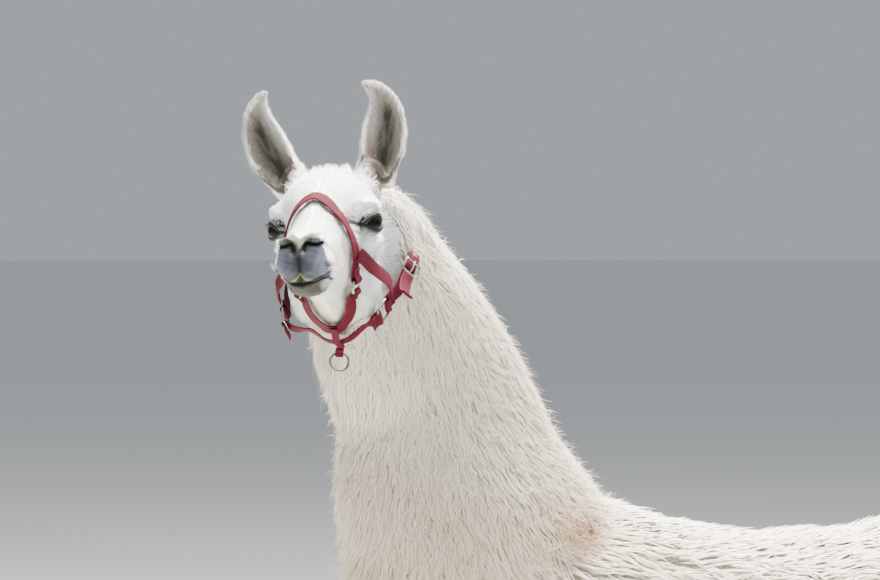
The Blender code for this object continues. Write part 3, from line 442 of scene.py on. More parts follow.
    def lie(self, points: Array, normals: Array) -> Array:
        """The way the coat lies, along the surface.

        Args:
            points: Places on the skin.
            normals: The skin's ways out there.

        Returns:
            Unit vectors square to the normals.
        """
        q = self.to_head(points)
        x, y, z = q.T
        _, back, high = self.to_withers(points).T
        face = columns(np.sign(x) * 0.25, 1, -0.45 * ramp(-0.05, -0.13, z))
        face = mix(face, [0, 0.15, 1], 0.75 * ramp(-0.045, -0.005, z) * ramp(-0.10, -0.05, y))
        ear = np.zeros_like(q)
        for pose in self.ears:
            sign = SIDES[pose.side]
            mine = x * sign > 0
            aside = np.clip(pose.local(q[mine])[:, 0] / 0.024, -1, 1) ** 3
            ear[mine] = unit(columns(0.85 * sign * aside, -0.15, 1)) @ pose.turn().T
        on_ear = np.maximum(self.earness(points), self.ear_mouth(q))
        head_way = mix(unit(face), ear, on_ear) @ self.axes().T
        neck_way = columns(-0.05, 0.16 + 0.45 * ramp(-0.25, 0.0, back + 0.28 * (high - 1.2)), -1)
        flank = mix(unit(np.array([0, 0.8, -0.55])), [0, 0.15, -1], ramp(0.55, 0.76, back))
        way = mix(unit(neck_way), flank, ramp(1.14, 0.98, high - 0.50 * back))
        way = mix(way, [0, 0.10, -1], ramp(0.78, 0.60, high))
        way = mix(way, [0, 0.05, -1], ramp(0.80, 0.86, back))
        way = mix(way, head_way, self.headness(points))
        way = way - (way * normals).sum(1)[:, None] * normals
        short = np.linalg.norm(way, axis=1) < 0.05
        way[short] = np.cross(normals[short], [1.0, 0.2, 0.1])
        return unit(way)

    def tint(self, points: Array, normals: Array) -> Array:
        """The coat's and the skin's colour, the same for both.

        Args:
            points: Places on the skin.
            normals: The skin's ways out there.

        Returns:
            Linear red, green and blue.
        """
        q, body = self.to_head(points), self.to_withers(points)
        x, y, z = q.T
        _, back, high = body.T
        uneven = 1 + 0.05 * ripple(points, 0.16, 11) + 0.04 * ripple(points, 0.045, 12)
        colour = np.array(Hue.CREAM) * uneven[:, None]
        # Old wool on the lower neck and chest is warmer.
        chest = ramp(1.30, 1.05, high) * ramp(0.05, -0.15, back)
        colour = mix(colour, colour * CHEST_WARMTH, 0.8 * chest)
        # A reddish patch before the shoulder is painted light: the red fringe at the edge of the neck's
        # shadow.
        colour = mix(colour, Hue.SHADOW_EDGE_RED, 0.9 * blob(body, (0.14, -0.045, 1.075), (0.10, 0.055, 0.030)))
        colour = mix(colour, colour * KNEE_WARMTH, ramp(0.55, 0.30, high))
        colour = mix(colour, Hue.FOOT_DUST, 0.8 * ramp(0.13, 0.03, points[:, 2]))
        # The face's white with its cream throat and dark jaw spot, and painted shade on the lower sides of
        # the face.
        face = painted(
            Hue.WHITE,
            (Hue.THROAT, ramp(-0.150, -0.185, z) * ramp(-0.27, -0.22, y)),
            (Hue.CHEEK_SHADE, 0.70 * ramp(0.026, 0.056, np.abs(x)) * ramp(-0.030, -0.075, z)),
            (Hue.JAW_SPOT, 0.85 * blob(q, (-0.0054, -0.1134, -0.1977), 0.0075)),
        )
        face = self.eye_tint(q, self.muzzle_tint(q, face))
        colour = mix(colour, face, self.headness(points))
        return np.clip(self.ear_tint(q, normals @ self.axes(), colour), 0.012, 0.93)

    def eye_tint(self, q: Array, face: Array) -> Array:
        """Lids with painted shade and dark edges and, on the left, marks before and over the eye, over the
        face's colour.

        Args:
            q: Places in the head's frame.
            face: The colours there so far.

        Returns:
            The colours with the eyes' own.
        """
        streak, brow = away_from_line(q[:, 1:], TEAR_STREAK), away_from_line(q[:, 1:], BROW_MARK)
        for side, sign in SIDES.items():
            away = q - self.eye_centre(side)
            gap, height = LIDS.margin_gap(away, sign), away[:, 2]
            marked = (q[:, 0] > 0.020) * (sign > 0)
            # Painted shade under each eye and on its upper lid, then the dark edges of the lids.
            face = painted(
                face,
                (Hue.TEAR_STREAK, 0.98 * ramp(0.0058, 0.0014, streak) * marked),
                (Hue.LOWER_LID_SHADE, 0.94 * ramp(0.012, 0.003, gap) * ramp(0.002, -0.004, height)),
                (Hue.UPPER_LID_SHADE, 0.985 * ramp(0.0090, 0.0050, gap) * ramp(-0.002, 0.004, height)),
                (Hue.LID_EDGE, 0.99 * ramp(0.0042 + 0.0014 * (height > 0), 0.0010, gap)),
                (Hue.BROW, 0.6 * ramp(0.0046, 0.001, brow) * marked),
            )
        return face

    def muzzle_tint(self, q: Array, face: Array) -> Array:
        """Nose, lips and chin painted over the face's colour, with painted shade in the nostrils, cleft and
        mouth.

        Args:
            q: Places in the head's frame.
            face: The colours there so far.

        Returns:
            The colours with the muzzle's own.
        """
        m = self.muzzle(q)
        u, z = np.abs(m[:, 0]), m[:, 2]
        flat = np.stack([u, z], 1)
        front, naked = ramp(-0.235, -0.262, q[:, 1]), self.nakedness(q)
        nostril, cleft, lip, mouth = (line[:, [0, 2]] for line in (NOSTRIL, CLEFT, LIP, MOUTH))
        lips = painted(
            Hue.LIP_SIDE,
            (Hue.LIP_MIDDLE, ramp(0.030, 0.012, u)),
            (Hue.LIP_CLEFT, bell(u, 0.0110) * ramp(-0.106, -0.118, z)),
            (Hue.LIP_LOW, 0.8 * ramp(-0.126, -0.146, z) * ramp(0.030, 0.018, u)),
        )
        lips = lips * (1 + 0.16 * ripple(q * [1, 1, 3.0], 0.012, 22))[:, None]
        # The olive skin above the nostrils, with painted shade in the hollow over each nostril's inner end.
        olive = painted(
            Hue.OLIVE_SHADE,
            (Hue.OLIVE, bell(u - 0.0225, 0.0070)),
            (Hue.OLIVE_TOP, ramp(-0.0960, -0.0885, z) * 0.8),
        )
        slit = np.interp(u, nostril[1:, 0], nostril[1:, 1])
        septum = ramp(0.0074, 0.0048, u + 0.22 * np.maximum(-0.104 - z, 0)) * ramp(-0.121, -0.114, z)
        below = bell(away_from_line(flat, nostril[:3] - [0.0006, 0.0022]), 0.0042) * ramp(-0.122, -0.110, z)
        thin = np.interp(u, *NOSTRIL_HALF.T)
        split = ramp(0.0034, 0.0004, away_from_line(flat, cleft)) * ramp(-0.117, -0.128, z)
        under, below_mouth = (
            ramp(0.0004, -0.0004, z - np.interp(u, line[:, 0], line[:, 1])) for line in (lip, mouth)
        )
        rim = ramp(0.0016, 0.0005, away_from_line(flat, lip + [0, 0.0008])) * ramp(0.030, 0.016, u)
        gap = ramp(0.0017, 0.0007, away_from_line(flat, mouth)) * ramp(-0.225, -0.240, q[:, 1])
        marks = ramp(0.15, 0.75, ripple(q, 0.007, 21))
        marks *= blob(q, (-0.006, -0.258, -0.081), (0.012, 0.008, 0.008))
        # Painted shade under and in the nostrils, in the lip's cleft and its lower gap, and in the mouth's
        # slit.
        return painted(
            face,
            (lips, 0.985 * naked),
            (olive, ramp(slit - 0.0015, slit + 0.0012, z) * naked),
            (Hue.SEPTUM, 0.9 * septum * naked),
            (Hue.NOSTRIL_SHADE, 0.8 * below * front),
            (Hue.NOSTRIL, 0.98 * ramp(1.6 * thin, 0.4 * thin, away_from_line(flat, nostril)) * front),
            (Hue.CLEFT, 0.6 * split * front),
            (Hue.CLEFT_END, 0.97 * ramp(0.0026, 0.0012, np.hypot(u, z + 0.1390)) * front),
            (Hue.UNDER_LIP, under * (1 - below_mouth) * front),
            (Hue.CHIN, 0.985 * ramp(-0.192, -0.168, z) * ramp(0.036, 0.018, u) * below_mouth * front),
            (Hue.LIP_RIM, 0.75 * rim * front),
            (Hue.MOUTH, 0.95 * gap),
            (Hue.NOSE_MARKS, 0.6 * marks),
        )

    def ear_tint(self, q: Array, facing: Array, colour: Array) -> Array:
        """The hollows of the ears painted over a colour: dark in the middle, paler beside it, white rims.

        Args:
            q: Places in the head's frame.
            facing: The ways out there, in the head's frame.
            colour: The colours there so far.

        Returns:
            The colours with the ears' own.
        """
        ear = self.earness(self.from_head(q))
        x, _, z = q.T
        trough = away_from_line(q[:, 1:], EAR_TROUGH[:, 1:])
        wide = np.interp(z, *TROUGH_HALF.T)
        for pose in self.ears:
            sign = SIDES[pose.side]
            mine = x * sign > 0
            inner, rim, tall, around = pose.hollow(q, facing)
            own = pose.local(q)
            wisps = ripple(own * [1, 1, 0.18], 0.0085, 31)
            inside = inner * (1 - rim) * np.maximum(ear, self.ear_root(q)) * mine
            streak = bell(around - 0.10, 0.40) * ramp(0.99, 0.66, tall) * (0.95 + 0.25 * wisps)
            shade = painted(
                Hue.EAR_INSIDE,
                (Hue.EAR_INNER_SIDE, 0.8 * ramp(0.0, 0.7, -around)),
                (Hue.EAR_STREAK, np.clip(streak, 0, 1)),
            )
            mouth = painted(
                Hue.EAR_MOUTH,
                (Hue.EAR_MOUTH_LOW, ramp(-0.012, -0.040, own[:, 2])),
                (Hue.EAR_MOUTH_EDGE, 0.75 * ramp(-0.002, -0.013, own[:, 0]) * ramp(0.026, 0.004, own[:, 2])),
            )
            low = ramp(0.012, 0.002, z) * ramp(-0.058, -0.046, z) * (x * sign > 0.044)
            # Painted shade in the trough below the ear, darkest at its top.
            deep = mix(Hue.TROUGH_SHADE_LOW, Hue.TROUGH_SHADE, ramp(-0.044, -0.010, z))
            colour = painted(
                colour,
                (shade * (1 + 0.22 * wisps)[:, None], inside),
                (Hue.EAR_RIM, ear * rim * mine),
                (mouth * (1 + 0.20 * wisps)[:, None], self.ear_mouth(q) * mine),
                (Hue.EAR_PINK, 0.8 * blob(own, (-0.010, -0.004, 0.024), (0.005, 0.02, 0.011)) * mine),
                (deep, 0.9 * ramp(1.35 * wide, 0.6 * wide, trough) * low),
            )
        return colour


def mm(*rows: tuple) -> Array:
    """Rows of millimetres as an array of metres."""
    return np.array(rows, float) / 1000


# Lines of the face, in the head's frame: left of the middle, back and up.
NOSTRIL = mm(
    (6.4, -306.5, -112.5), (8.2, -303.5, -106.8), (11.2, -301, -104), (18.5, -299, -105.6),
    (24.6, -296, -105.6), (30.2, -292.5, -103.8),
)
CLEFT = mm((0, -308.5, -118), (0, -310.5, -125), (0, -310.5, -133), (0, -309.5, -139))
LIP = mm(
    (0, -308.5, -141.5), (3, -306, -146), (7.3, -303.5, -150), (15, -301, -151.5), (23.5, -299, -148.5),
    (30.5, -291.5, -145.6), (39.5, -271.5, -141.2),
)
MOUTH = mm(
    (0, -299, -154.6), (8.5, -299, -154.1), (19, -297, -152), (30.5, -289, -147), (39.5, -270, -142),
    (41.6, -236, -133),
)
MUZZLE_RIDGE = mm(
    (26.2, -272, -91), (31.5, -293, -102), (35, -294, -114), (37.5, -294, -125), (40, -290, -133),
)
MOUTH_CORNER = mm((40, -236, -133), (42.5, -227, -140), (42.5, -222, -150))
LIP_FLANK = mm((33, -280, -108), (37, -265, -118), (39.5, -248, -129))
LIP_NOTCH = mm((0, -307, -142.5), (0, -302, -151))
SEPTUM = mm((0, -298, -98), (0, -306, -108), (0, -309, -116.5))
CHEEKBONE = mm((46, -165, -98), (55, -135, -109))
CHEEK_HOLLOW = mm((40, -200, -105), (45, -170, -120), (52, -130, -132))
EYE_POUCH = mm((66, -122, -93), (70, -105, -94.5), (71, -90, -95))
EYE_BAG = mm((50, -140, -84), (60, -128, -89), (72, -108, -90))
WHISKERS = mm((34.5, -290.5, -132))[0]
# Half width of the naked nose and lips by height, and their upper edge by distance from the middle.
BARE_HALF = mm((-156, 26), (-150, 31), (-134, 36), (-125, 35), (-113, 32.5), (-100, 29))
BARE_TOP = mm((0, -97), (4, -94), (11, -89.5), (19, -90), (26, -95), (31, -102.5))
# Half width of a nostril's slit by distance from the middle.
NOSTRIL_HALF = mm((6.6, 1.2), (9.5, 2.2), (14, 2.4), (24, 1.5), (31, 0.9))
# Seen from the side, backwards and up: from the eye's front corner down the face, and a mark on the brow.
TEAR_STREAK = mm((-126, -78.5), (-143, -75.5), (-158, -73))
BROW_MARK = mm((-142, -57.5), (-137, -51.5))
# The lower end of an ear's hollow in the ear's own frame, and its half width by height.
EAR_MOUTH = mm((-2, -18, 30), (-2, -24, 12), (3, -24, -8), (12, -20, -24), (19, -16, -42))
EAR_MOUTH_HALF = mm((-44, 2), (-24, 10), (-8, 18), (10, 23.5), (24, 20.5), (36, 13))
# The hollow that runs from the ear's mouth down the side of the head, with its half width by height, and the
# ridges behind and before it.
EAR_TROUGH = mm((62, -19, 6), (66, -18, -18), (70.5, -17, -36), (74, -16, -56))
TROUGH_HALF = mm((-55, 1.5), (-30, 4.5), (0, 8.5))
EAR_RIDGE = mm((78, 4, -8), (81, -1, -30), (81, -8, -56))
EAR_BROW = mm((53, -33, -6), (60, -33, -24), (68, -29, -48))


@dataclass(frozen=True)
class Stroke:
    """One press of a brush into the face."""

    line: Array  # on the left side, in the head's frame
    width: float  # half of it
    depth: float  # a ridge's is negative
    shift: tuple = (0, 0, 0)
    on_muzzle: float = 1.0  # share of the muzzle's shift aside that the line follows
    steep: bool = False  # backwards and up, and not straight into the surface


SIDE_STROKES = (
    Stroke(NOSTRIL, 0.0025, 0.0085, steep=True),
    Stroke(NOSTRIL[:3], 0.0036, 0.0026, (0, 0, -0.0025), steep=True),
    Stroke(NOSTRIL[1:4], 0.0036, 0.0016, (0, 0, 0.0060)),
    Stroke(NOSTRIL[3:], 0.0042, -0.0024, (0, 0, 0.0052)),
    Stroke(NOSTRIL[3:], 0.0045, -0.0012, (0.001, 0, -0.0060)),
    Stroke(MOUTH, 0.0021, 0.0046),
    Stroke(LIP[2:-1], 0.0044, -0.0016, (0, 0, 0.0036)),
    Stroke(MOUTH[:-1], 0.0042, -0.0013, (0, 0, -0.0062)),
    Stroke(MUZZLE_RIDGE, 0.0024, -0.0009),
    Stroke(MOUTH_CORNER, 0.0030, 0.0016, on_muzzle=0),
    Stroke(LIP_FLANK, 0.0050, 0.0016, on_muzzle=0.5),
    Stroke(CHEEKBONE, 0.0100, -0.0016, on_muzzle=0),
    Stroke(CHEEK_HOLLOW, 0.0130, 0.0030, on_muzzle=0),
    Stroke(EYE_POUCH, 0.0065, -0.0018, on_muzzle=0),
    Stroke(EYE_BAG, 0.0016, 0.0010, (0, 0, -0.0050), 0),
    Stroke(EYE_BAG, 0.0016, 0.0008, (0, 0, -0.0092), 0),
    Stroke(EYE_BAG, 0.0016, 0.0005, (0, 0, -0.0140), 0),
    Stroke(EAR_TROUGH, 0.0068, 0.0068, on_muzzle=0),
    Stroke(EAR_RIDGE, 0.0052, -0.0048, on_muzzle=0),
    Stroke(EAR_BROW, 0.0050, -0.0022, on_muzzle=0),
)
MIDDLE_STROKES = (
    Stroke(CLEFT, 0.0017, 0.0028),
    Stroke(CLEFT, 0.0060, 0.0014),
    Stroke(LIP_NOTCH, 0.0026, 0.0034),
    Stroke(SEPTUM, 0.0040, -0.0014),
)


@dataclass(frozen=True)
class Lids:
    """The almond opening of the eyelids, on a ball round the middle of the eye."""

    radius: float = Animal.eye_radius
    half_width: float = 0.0160
    above: float = 0.0088
    below: float = 0.0088
    thick: float = 0.0021
    tilt: float = 0.10  # rise of the opening towards its back
    # The ways that the left and the right eye look, in the head's frame, with X outwards.
    out_left: tuple = (0.84, -0.54, 0.03)
    out_right: tuple = (0.86, -0.50, -0.06)

    def axes(self, sign: int) -> Array:
        """Rows: backwards along the opening, up across it, and out."""
        out = unit(np.array(self.out_left if sign > 0 else self.out_right) * [sign, 1, 1])
        up = unit(UP - out * out[2])
        back = np.cross(up, out) * sign
        return np.stack([back, up, out])

    def bounds(self, x: Array) -> tuple[Array, Array]:
        """Height of the upper and of the lower lid's edge at a distance back from the middle."""
        share = np.clip(np.abs(x) / self.half_width, 0, 1)
        tilt = self.tilt * x
        return tilt + self.above * (1 - share**2.2), tilt - self.below * (1 - share**1.9)

    def flat(self, away: Array, sign: int) -> tuple[Array, Array, Array]:
        """Unrolled places on the ball: back, up, and how much they face out."""
        reach = np.maximum(np.linalg.norm(away, axis=-1), 1e-6)
        local = away @ self.axes(sign).T / reach[..., None]
        return local[..., 0] * self.radius, local[..., 1] * self.radius, local[..., 2]

    def margin_gap(self, away: Array, sign: int) -> Array:
        """Rough distance outside the opening's edge, negative inside, for offsets from the eye's middle."""
        x, y, facing = self.flat(away, sign)
        upper, lower = self.bounds(x)
        beyond = np.maximum(np.abs(x) - self.half_width, 0)
        gap = np.maximum(y - upper, lower - y)
        gap = np.where(beyond > 0, np.hypot(beyond, np.abs(y - self.tilt * x)), gap)
        far = (facing < 0.15) | (np.linalg.norm(away, axis=-1) > 2.2 * self.radius)
        return np.where(far, 1.0, gap)

    def edge(self, sign: int, lift: float, count: int = 72) -> Array:
        """The opening's edge on a ball `lift` larger than the eye, as offsets from its middle."""
        angle = np.linspace(0, 2 * np.pi, count, endpoint=False)
        x = self.half_width * np.cos(angle)
        upper, lower = self.bounds(x)
        y = np.where(np.sin(angle) >= 0, upper, lower)
        z = np.sqrt(np.maximum(self.radius**2 - x**2 - y**2, 0))
        return unit(np.stack([x, y, z], 1)) @ self.axes(sign) * (self.radius + lift)


LIDS = Lids()


# ---- shader maths and finishes


class Signal:
    """A shader socket that arithmetic works on."""

    def __init__(self, graph: "Graph", socket: bpy.types.NodeSocket) -> None:
        """Wraps a socket of a graph."""
        self.graph, self.socket = graph, socket

    def _math(self, operation: str, *values: "Signal | float") -> "Signal":
        """A Math node on these values."""
        return self.graph.node("ShaderNodeMath", {"operation": operation}, dict(enumerate(values)))

    def __add__(self, other: "Signal | float") -> "Signal":
        """The sum."""
        return self._math("ADD", self, other)

    __radd__ = __add__

    def __mul__(self, other: "Signal | float") -> "Signal":
        """The product."""
        return self._math("MULTIPLY", self, other)

    __rmul__ = __mul__

    def __sub__(self, other: "Signal | float") -> "Signal":
        """The difference."""
        return self._math("SUBTRACT", self, other)

    def __rsub__(self, other: "Signal | float") -> "Signal":
        """The difference, the other way round."""
        return self._math("SUBTRACT", other, self)

    def __pow__(self, other: "Signal | float") -> "Signal":
        """The power."""
        return self._math("POWER", self, other)

    def sine(self) -> "Signal":
        """The sine of the value."""
        return self._math("SINE", self)

    def clamped(self) -> "Signal":
        """The value held between 0 and 1."""
        return self._math("MINIMUM", self._math("MAXIMUM", self, 0.0), 1.0)


class Graph:
    """A material's node tree, with one Principled shader and one way to add any other node."""

    def __init__(self, name: str) -> None:
        """Starts an empty material."""
        self.material = bpy.data.materials.new(name)
        self.material.use_nodes = True
        self.tree = self.material.node_tree
        self.shader = self.tree.nodes["Principled BSDF"]
        self.output = self.tree.nodes["Material Output"]

    def node(self, kind: str, settings: dict, inputs: dict, output: int | str = 0) -> Signal:
        """Adds a node.

        Args:
            kind: The node's type.
            settings: Its properties, set first.
            inputs: Values or signals by socket name or number.
            output: Which output is returned.

        Returns:
            That output.
        """
        node = self.tree.nodes.new(kind)
        for key, value in settings.items():
            setattr(node, key, value)
        for key, value in inputs.items():
            self.feed(node.inputs[key], value)
        return Signal(self, node.outputs[output])

    def feed(self, socket: bpy.types.NodeSocket, value: Signal | float | tuple) -> None:
        """Sets a socket to a value, or links a signal to it."""
        if isinstance(value, Signal):
            self.tree.links.new(value.socket, socket)
        elif isinstance(value, (tuple, list)) and len(value) == 3 and socket.type == "RGBA":
            socket.default_value = (*value, 1.0)
        else:
            socket.default_value = value

    def surface(self, **inputs: Signal | float | tuple) -> None:
        """Feeds the Principled shader. Underscores stand for the spaces in its sockets' names."""
        for key, value in inputs.items():
            self.feed(self.shader.inputs[key.replace("_", " ")], value)

    def place(self) -> Signal:
        """Object coordinates, which are the row's frame."""
        return self.node("ShaderNodeTexCoord", {}, {}, "Object")

    def noise(self, scale: float, detail: float, rough: float = 0.5, at: Optional[Signal] = None) -> Signal:
        """Noise of so many grains to the metre."""
        inputs = {"Vector": at or self.place(), "Scale": scale, "Detail": detail, "Roughness": rough}
        return self.node("ShaderNodeTexNoise", {}, inputs, "Fac")

    def stretched(self, scale: tuple) -> Signal:
        """Object coordinates scaled by axis."""
        return self.node("ShaderNodeMapping", {}, {"Vector": self.place(), "Scale": scale})

    def value_of(self, attribute: str) -> Signal:
        """A number that the mesh carries."""
        return self.node("ShaderNodeAttribute", {"attribute_name": attribute}, {}, "Fac")

    def colour_of(self, attribute: str) -> Signal:
        """A colour that the mesh carries."""
        return self.node("ShaderNodeAttribute", {"attribute_name": attribute}, {}, "Color")

    def blend(self, share: Signal, one: Signal | tuple, other: Signal | tuple) -> Signal:
        """Colours mixed by a share."""
        settings = {"data_type": "RGBA", "blend_type": "MIX"}
        return self.node("ShaderNodeMix", settings, {0: share, 6: one, 7: other}, 2)

    def scaled(self, colour: Signal, by: Signal) -> Signal:
        """A colour made brighter or darker."""
        return self.node("ShaderNodeVectorMath", {"operation": "SCALE"}, {0: colour, 3: by})

    def bump(self, height: Signal, distance: float, strength: float) -> Signal:
        """A surface normal from a height."""
        return self.node("ShaderNodeBump", {}, {"Height": height, "Distance": distance, "Strength": strength})


@dataclass(frozen=True)
class Finish:
    """A finish of one kind of piece."""

    name: str

    def make(self) -> Material:
        """Builds the material."""
        graph = Graph(self.name)
        self.dress(graph)
        return graph.material

    def dress(self, graph: Graph) -> None:
        """Wires up the material's nodes."""
        raise NotImplementedError


@dataclass(frozen=True)
class WoolFinish(Finish):
    """Wool or hair in locks, which lets some light through."""

    name: str = "white_wool"
    sheen: float = 0.05
    through: float = 0.30
    glow: tuple = (0.93, 0.88, 0.78)

    def dress(self, graph: Graph) -> None:
        """Mixes light let through with a matt surface, the more of it the paler the wool."""
        colour = graph.scaled(graph.colour_of(TINT), graph.noise(420.0, 2.0) * 0.22 + 0.89)
        graph.surface(Base_Color=colour, Roughness=0.75, Sheen_Weight=self.sheen)
        graph.surface(Sheen_Roughness=0.45, Specular_IOR_Level=0.10)
        glow = graph.tree.nodes.new("ShaderNodeBsdfTranslucent")
        glow.inputs["Color"].default_value = (*self.glow, 1.0)
        both = graph.tree.nodes.new("ShaderNodeMixShader")
        graph.feed(both.inputs[0], ((graph.value_of(TINT) - 0.20) * 2.0).clamped() * self.through)
        graph.tree.links.new(graph.shader.outputs[0], both.inputs[1])
        graph.tree.links.new(glow.outputs[0], both.inputs[2])
        graph.tree.links.new(both.outputs[0], graph.output.inputs["Surface"])


@dataclass(frozen=True)
class SkinFinish(Finish):
    """Skin under fur: pored and wet on the nose, matt and hairy elsewhere."""

    name: str = "llama_skin"

    def dress(self, graph: Graph) -> None:
        """Wires up pores where the skin is bare and hairs elsewhere."""
        bare = graph.value_of(BARE)
        colour = graph.scaled(graph.colour_of(TINT), graph.noise(95.0, 4.0, 0.6) * 0.30 + 0.85)
        cells = {"Vector": graph.place(), "Scale": 620.0}
        pores = graph.node("ShaderNodeTexVoronoi", {"feature": "DISTANCE_TO_EDGE"}, cells, "Distance")
        hairs = graph.noise(1.0, 3.0, 0.6, graph.stretched((900.0, 900.0, 260.0)))
        height = pores * bare * 1.4 + hairs * (1.0 - bare * 0.7)
        graph.surface(Base_Color=colour, Roughness=0.74 - bare * 0.26, Specular_IOR_Level=0.10)
        graph.surface(Normal=graph.bump(height, 0.0007, 0.75))


@dataclass(frozen=True)
class EyeFinish(Finish):
    """A wet dark eye: brown iris, level pupil, under a clear cornea."""

    name: str = "llama_eye"
    iris_dark: tuple = (0.003, 0.002, 0.0018)
    iris_light: tuple = (0.011, 0.008, 0.0055)
    ball: tuple = (0.007, 0.006, 0.005)
    pupil: tuple = (0.002, 0.002, 0.003)

    def dress(self, graph: Graph) -> None:
        """Wires up the rays of the iris, the ball round it and the pupil."""
        radius, angle = graph.value_of(FROM_AXIS), graph.value_of(ROUND)
        around = graph.node("ShaderNodeCombineXYZ", {}, {0: angle * 6.0, 1: radius * 1.2})
        iris = graph.blend(graph.noise(9.0, 3.0, 0.6, around), self.iris_dark, self.iris_light)
        ball = graph.blend(((radius - 0.86) * 9.0).clamped(), iris, self.ball)
        graph.surface(Base_Color=graph.blend(graph.value_of(PUPIL), ball, self.pupil), Roughness=0.16)
        graph.surface(Coat_Weight=0.25, Coat_Roughness=0.02, Coat_IOR=1.2, Specular_IOR_Level=0.05)


@dataclass(frozen=True)
class MarginFinish(Finish):
    """Dark wet edge of an eyelid."""

    name: str = "lid_margin"
    dark: tuple = (0.004, 0.0035, 0.0035)
    light: tuple = (0.014, 0.011, 0.010)

    def dress(self, graph: Graph) -> None:
        """Wires up fine spots."""
        spots = graph.noise(700.0, 3.0)
        graph.surface(Base_Color=graph.blend(spots, self.dark, self.light), Roughness=0.36 + spots * 0.2)
        graph.surface(Specular_IOR_Level=0.15, Normal=graph.bump(spots, 0.0003, 0.6))


@dataclass(frozen=True)
class HornFinish(Finish):
    """Toenail keratin: dark, with growth lines and dust."""

    name: str = "nail_keratin"
    dark: tuple = (0.035, 0.028, 0.024)
    light: tuple = (0.15, 0.12, 0.095)
    dusty: tuple = (0.26, 0.22, 0.17)

    def dress(self, graph: Graph) -> None:
        """Wires up growth lines under dust."""
        lines = graph.noise(1.0, 4.0, 0.6, graph.stretched((160.0, 520.0, 160.0)))
        dust = graph.noise(60.0, 3.0)
        keratin = graph.blend(lines, self.dark, self.light)
        graph.surface(Base_Color=graph.blend(dust * 0.5, keratin, self.dusty))
        graph.surface(Roughness=0.38 + dust * 0.3, Normal=graph.bump(lines, 0.0006, 0.8))


@dataclass(frozen=True)
class WebbingFinish(Finish):
    """Woven nylon webbing: ribs across it, a herringbone between them and slightly faded, dusty edges."""

    name: str = "red_webbing"
    yarn: float = 0.00135  # from one rib to the next
    cord: float = 0.0016  # from one lengthwise cord to the next
    half_width: float = 0.0095
    dark: tuple = (0.024, 0.0006, 0.0034)
    light: tuple = (0.100, 0.0026, 0.0145)
    grimy: tuple = (0.070, 0.008, 0.014)
    faded: tuple = (0.150, 0.008, 0.026)

    def dress(self, graph: Graph) -> None:
        """Wires up the weave, grime and worn edges."""
        along, across = graph.value_of(ALONG), graph.value_of(ACROSS)
        zigzag = graph.node("ShaderNodeMath", {"operation": "PINGPONG"}, {0: across + 0.05, 1: 0.0024})
        ribs = ((along + zigzag * 0.8) * (2 * math.pi / self.yarn)).sine() * 0.5 + 0.5
        cords = (across * (2 * math.pi / self.cord)).sine() * 0.5 + 0.5
        weave = ribs * 0.65 + cords * 0.35
        grime = graph.noise(55.0, 4.0, 0.6)
        edge = (((across * across) ** 0.5 - self.half_width * 0.80) * (1 / (self.half_width * 0.2))).clamped()
        worn = graph.blend(grime * 0.25, graph.blend(weave, self.dark, self.light), self.grimy)
        graph.surface(Base_Color=graph.blend(edge * 0.25, worn, self.faded), Specular_IOR_Level=0.10)
        graph.surface(Roughness=0.62 + grime * 0.2, Normal=graph.bump(weave, 0.0005, 0.9))


@dataclass(frozen=True)
class ThreadFinish(Finish):
    """Sewing thread, a shade darker than the webbing."""

    name: str = "sewing_thread"
    dark: tuple = (0.080, 0.003, 0.012)
    light: tuple = (0.16, 0.018, 0.035)

    def dress(self, graph: Graph) -> None:
        """Wires up the twist of the thread."""
        ply = graph.noise(2600.0, 1.0)
        graph.surface(Base_Color=graph.blend(ply * 0.5, self.dark, self.light), Roughness=0.5)
        graph.surface(Specular_IOR_Level=0.15, Normal=graph.bump(ply, 0.0002, 0.7))


@dataclass(frozen=True)
class MetalFinish(Finish):
    """Nickel-plated wire, scuffed, with brass showing through where it rubs."""

    name: str = "worn_nickel"
    nickel: tuple = (0.27, 0.26, 0.24)
    brass: tuple = (0.24, 0.19, 0.10)

    def dress(self, graph: Graph) -> None:
        """Wires up rubbed places and fine scuffs."""
        wear = ((graph.noise(210.0, 5.0, 0.65) - 0.50) * 5.0).clamped()
        scuff = graph.noise(1400.0, 2.0)
        graph.surface(Base_Color=graph.blend(wear * 0.7, self.nickel, self.brass), Metallic=1.0)
        graph.surface(Roughness=0.20 + wear * 0.16 + scuff * 0.08, Normal=graph.bump(scuff, 0.0001, 0.5))


@dataclass(frozen=True)
class FloorFinish(Finish):
    """The plain pale floor."""

    name: str = "pale_floor"

    def dress(self, graph: Graph) -> None:
        """Sets one matt pale colour."""
        graph.surface(Base_Color=(0.82, 0.82, 0.81), Roughness=0.9, Specular_IOR_Level=0.2)


# ---- meshes


def linked(name: str, data: bpy.types.ID) -> Object:
    """An object of this mesh, light or camera, in the scene."""
    obj = bpy.data.objects.new(name, data)
    bpy.context.scene.collection.objects.link(obj)
    return obj


def new_piece(name: str, bm: bmesh.types.BMesh) -> Object:
    """A smooth-shaded object from a bmesh, which is freed."""
    mesh = bpy.data.meshes.new(name)
    bm.to_mesh(mesh)
    bm.free()
    mesh.shade_smooth()
    return linked(name, mesh)


def absorb(whole: bmesh.types.BMesh, part: bmesh.types.BMesh) -> None:
    """Adds a bmesh to another, and frees it."""
    mesh = bpy.data.meshes.new("part")
    part.to_mesh(mesh)
    part.free()
    whole.from_mesh(mesh)
    bpy.data.meshes.remove(mesh)


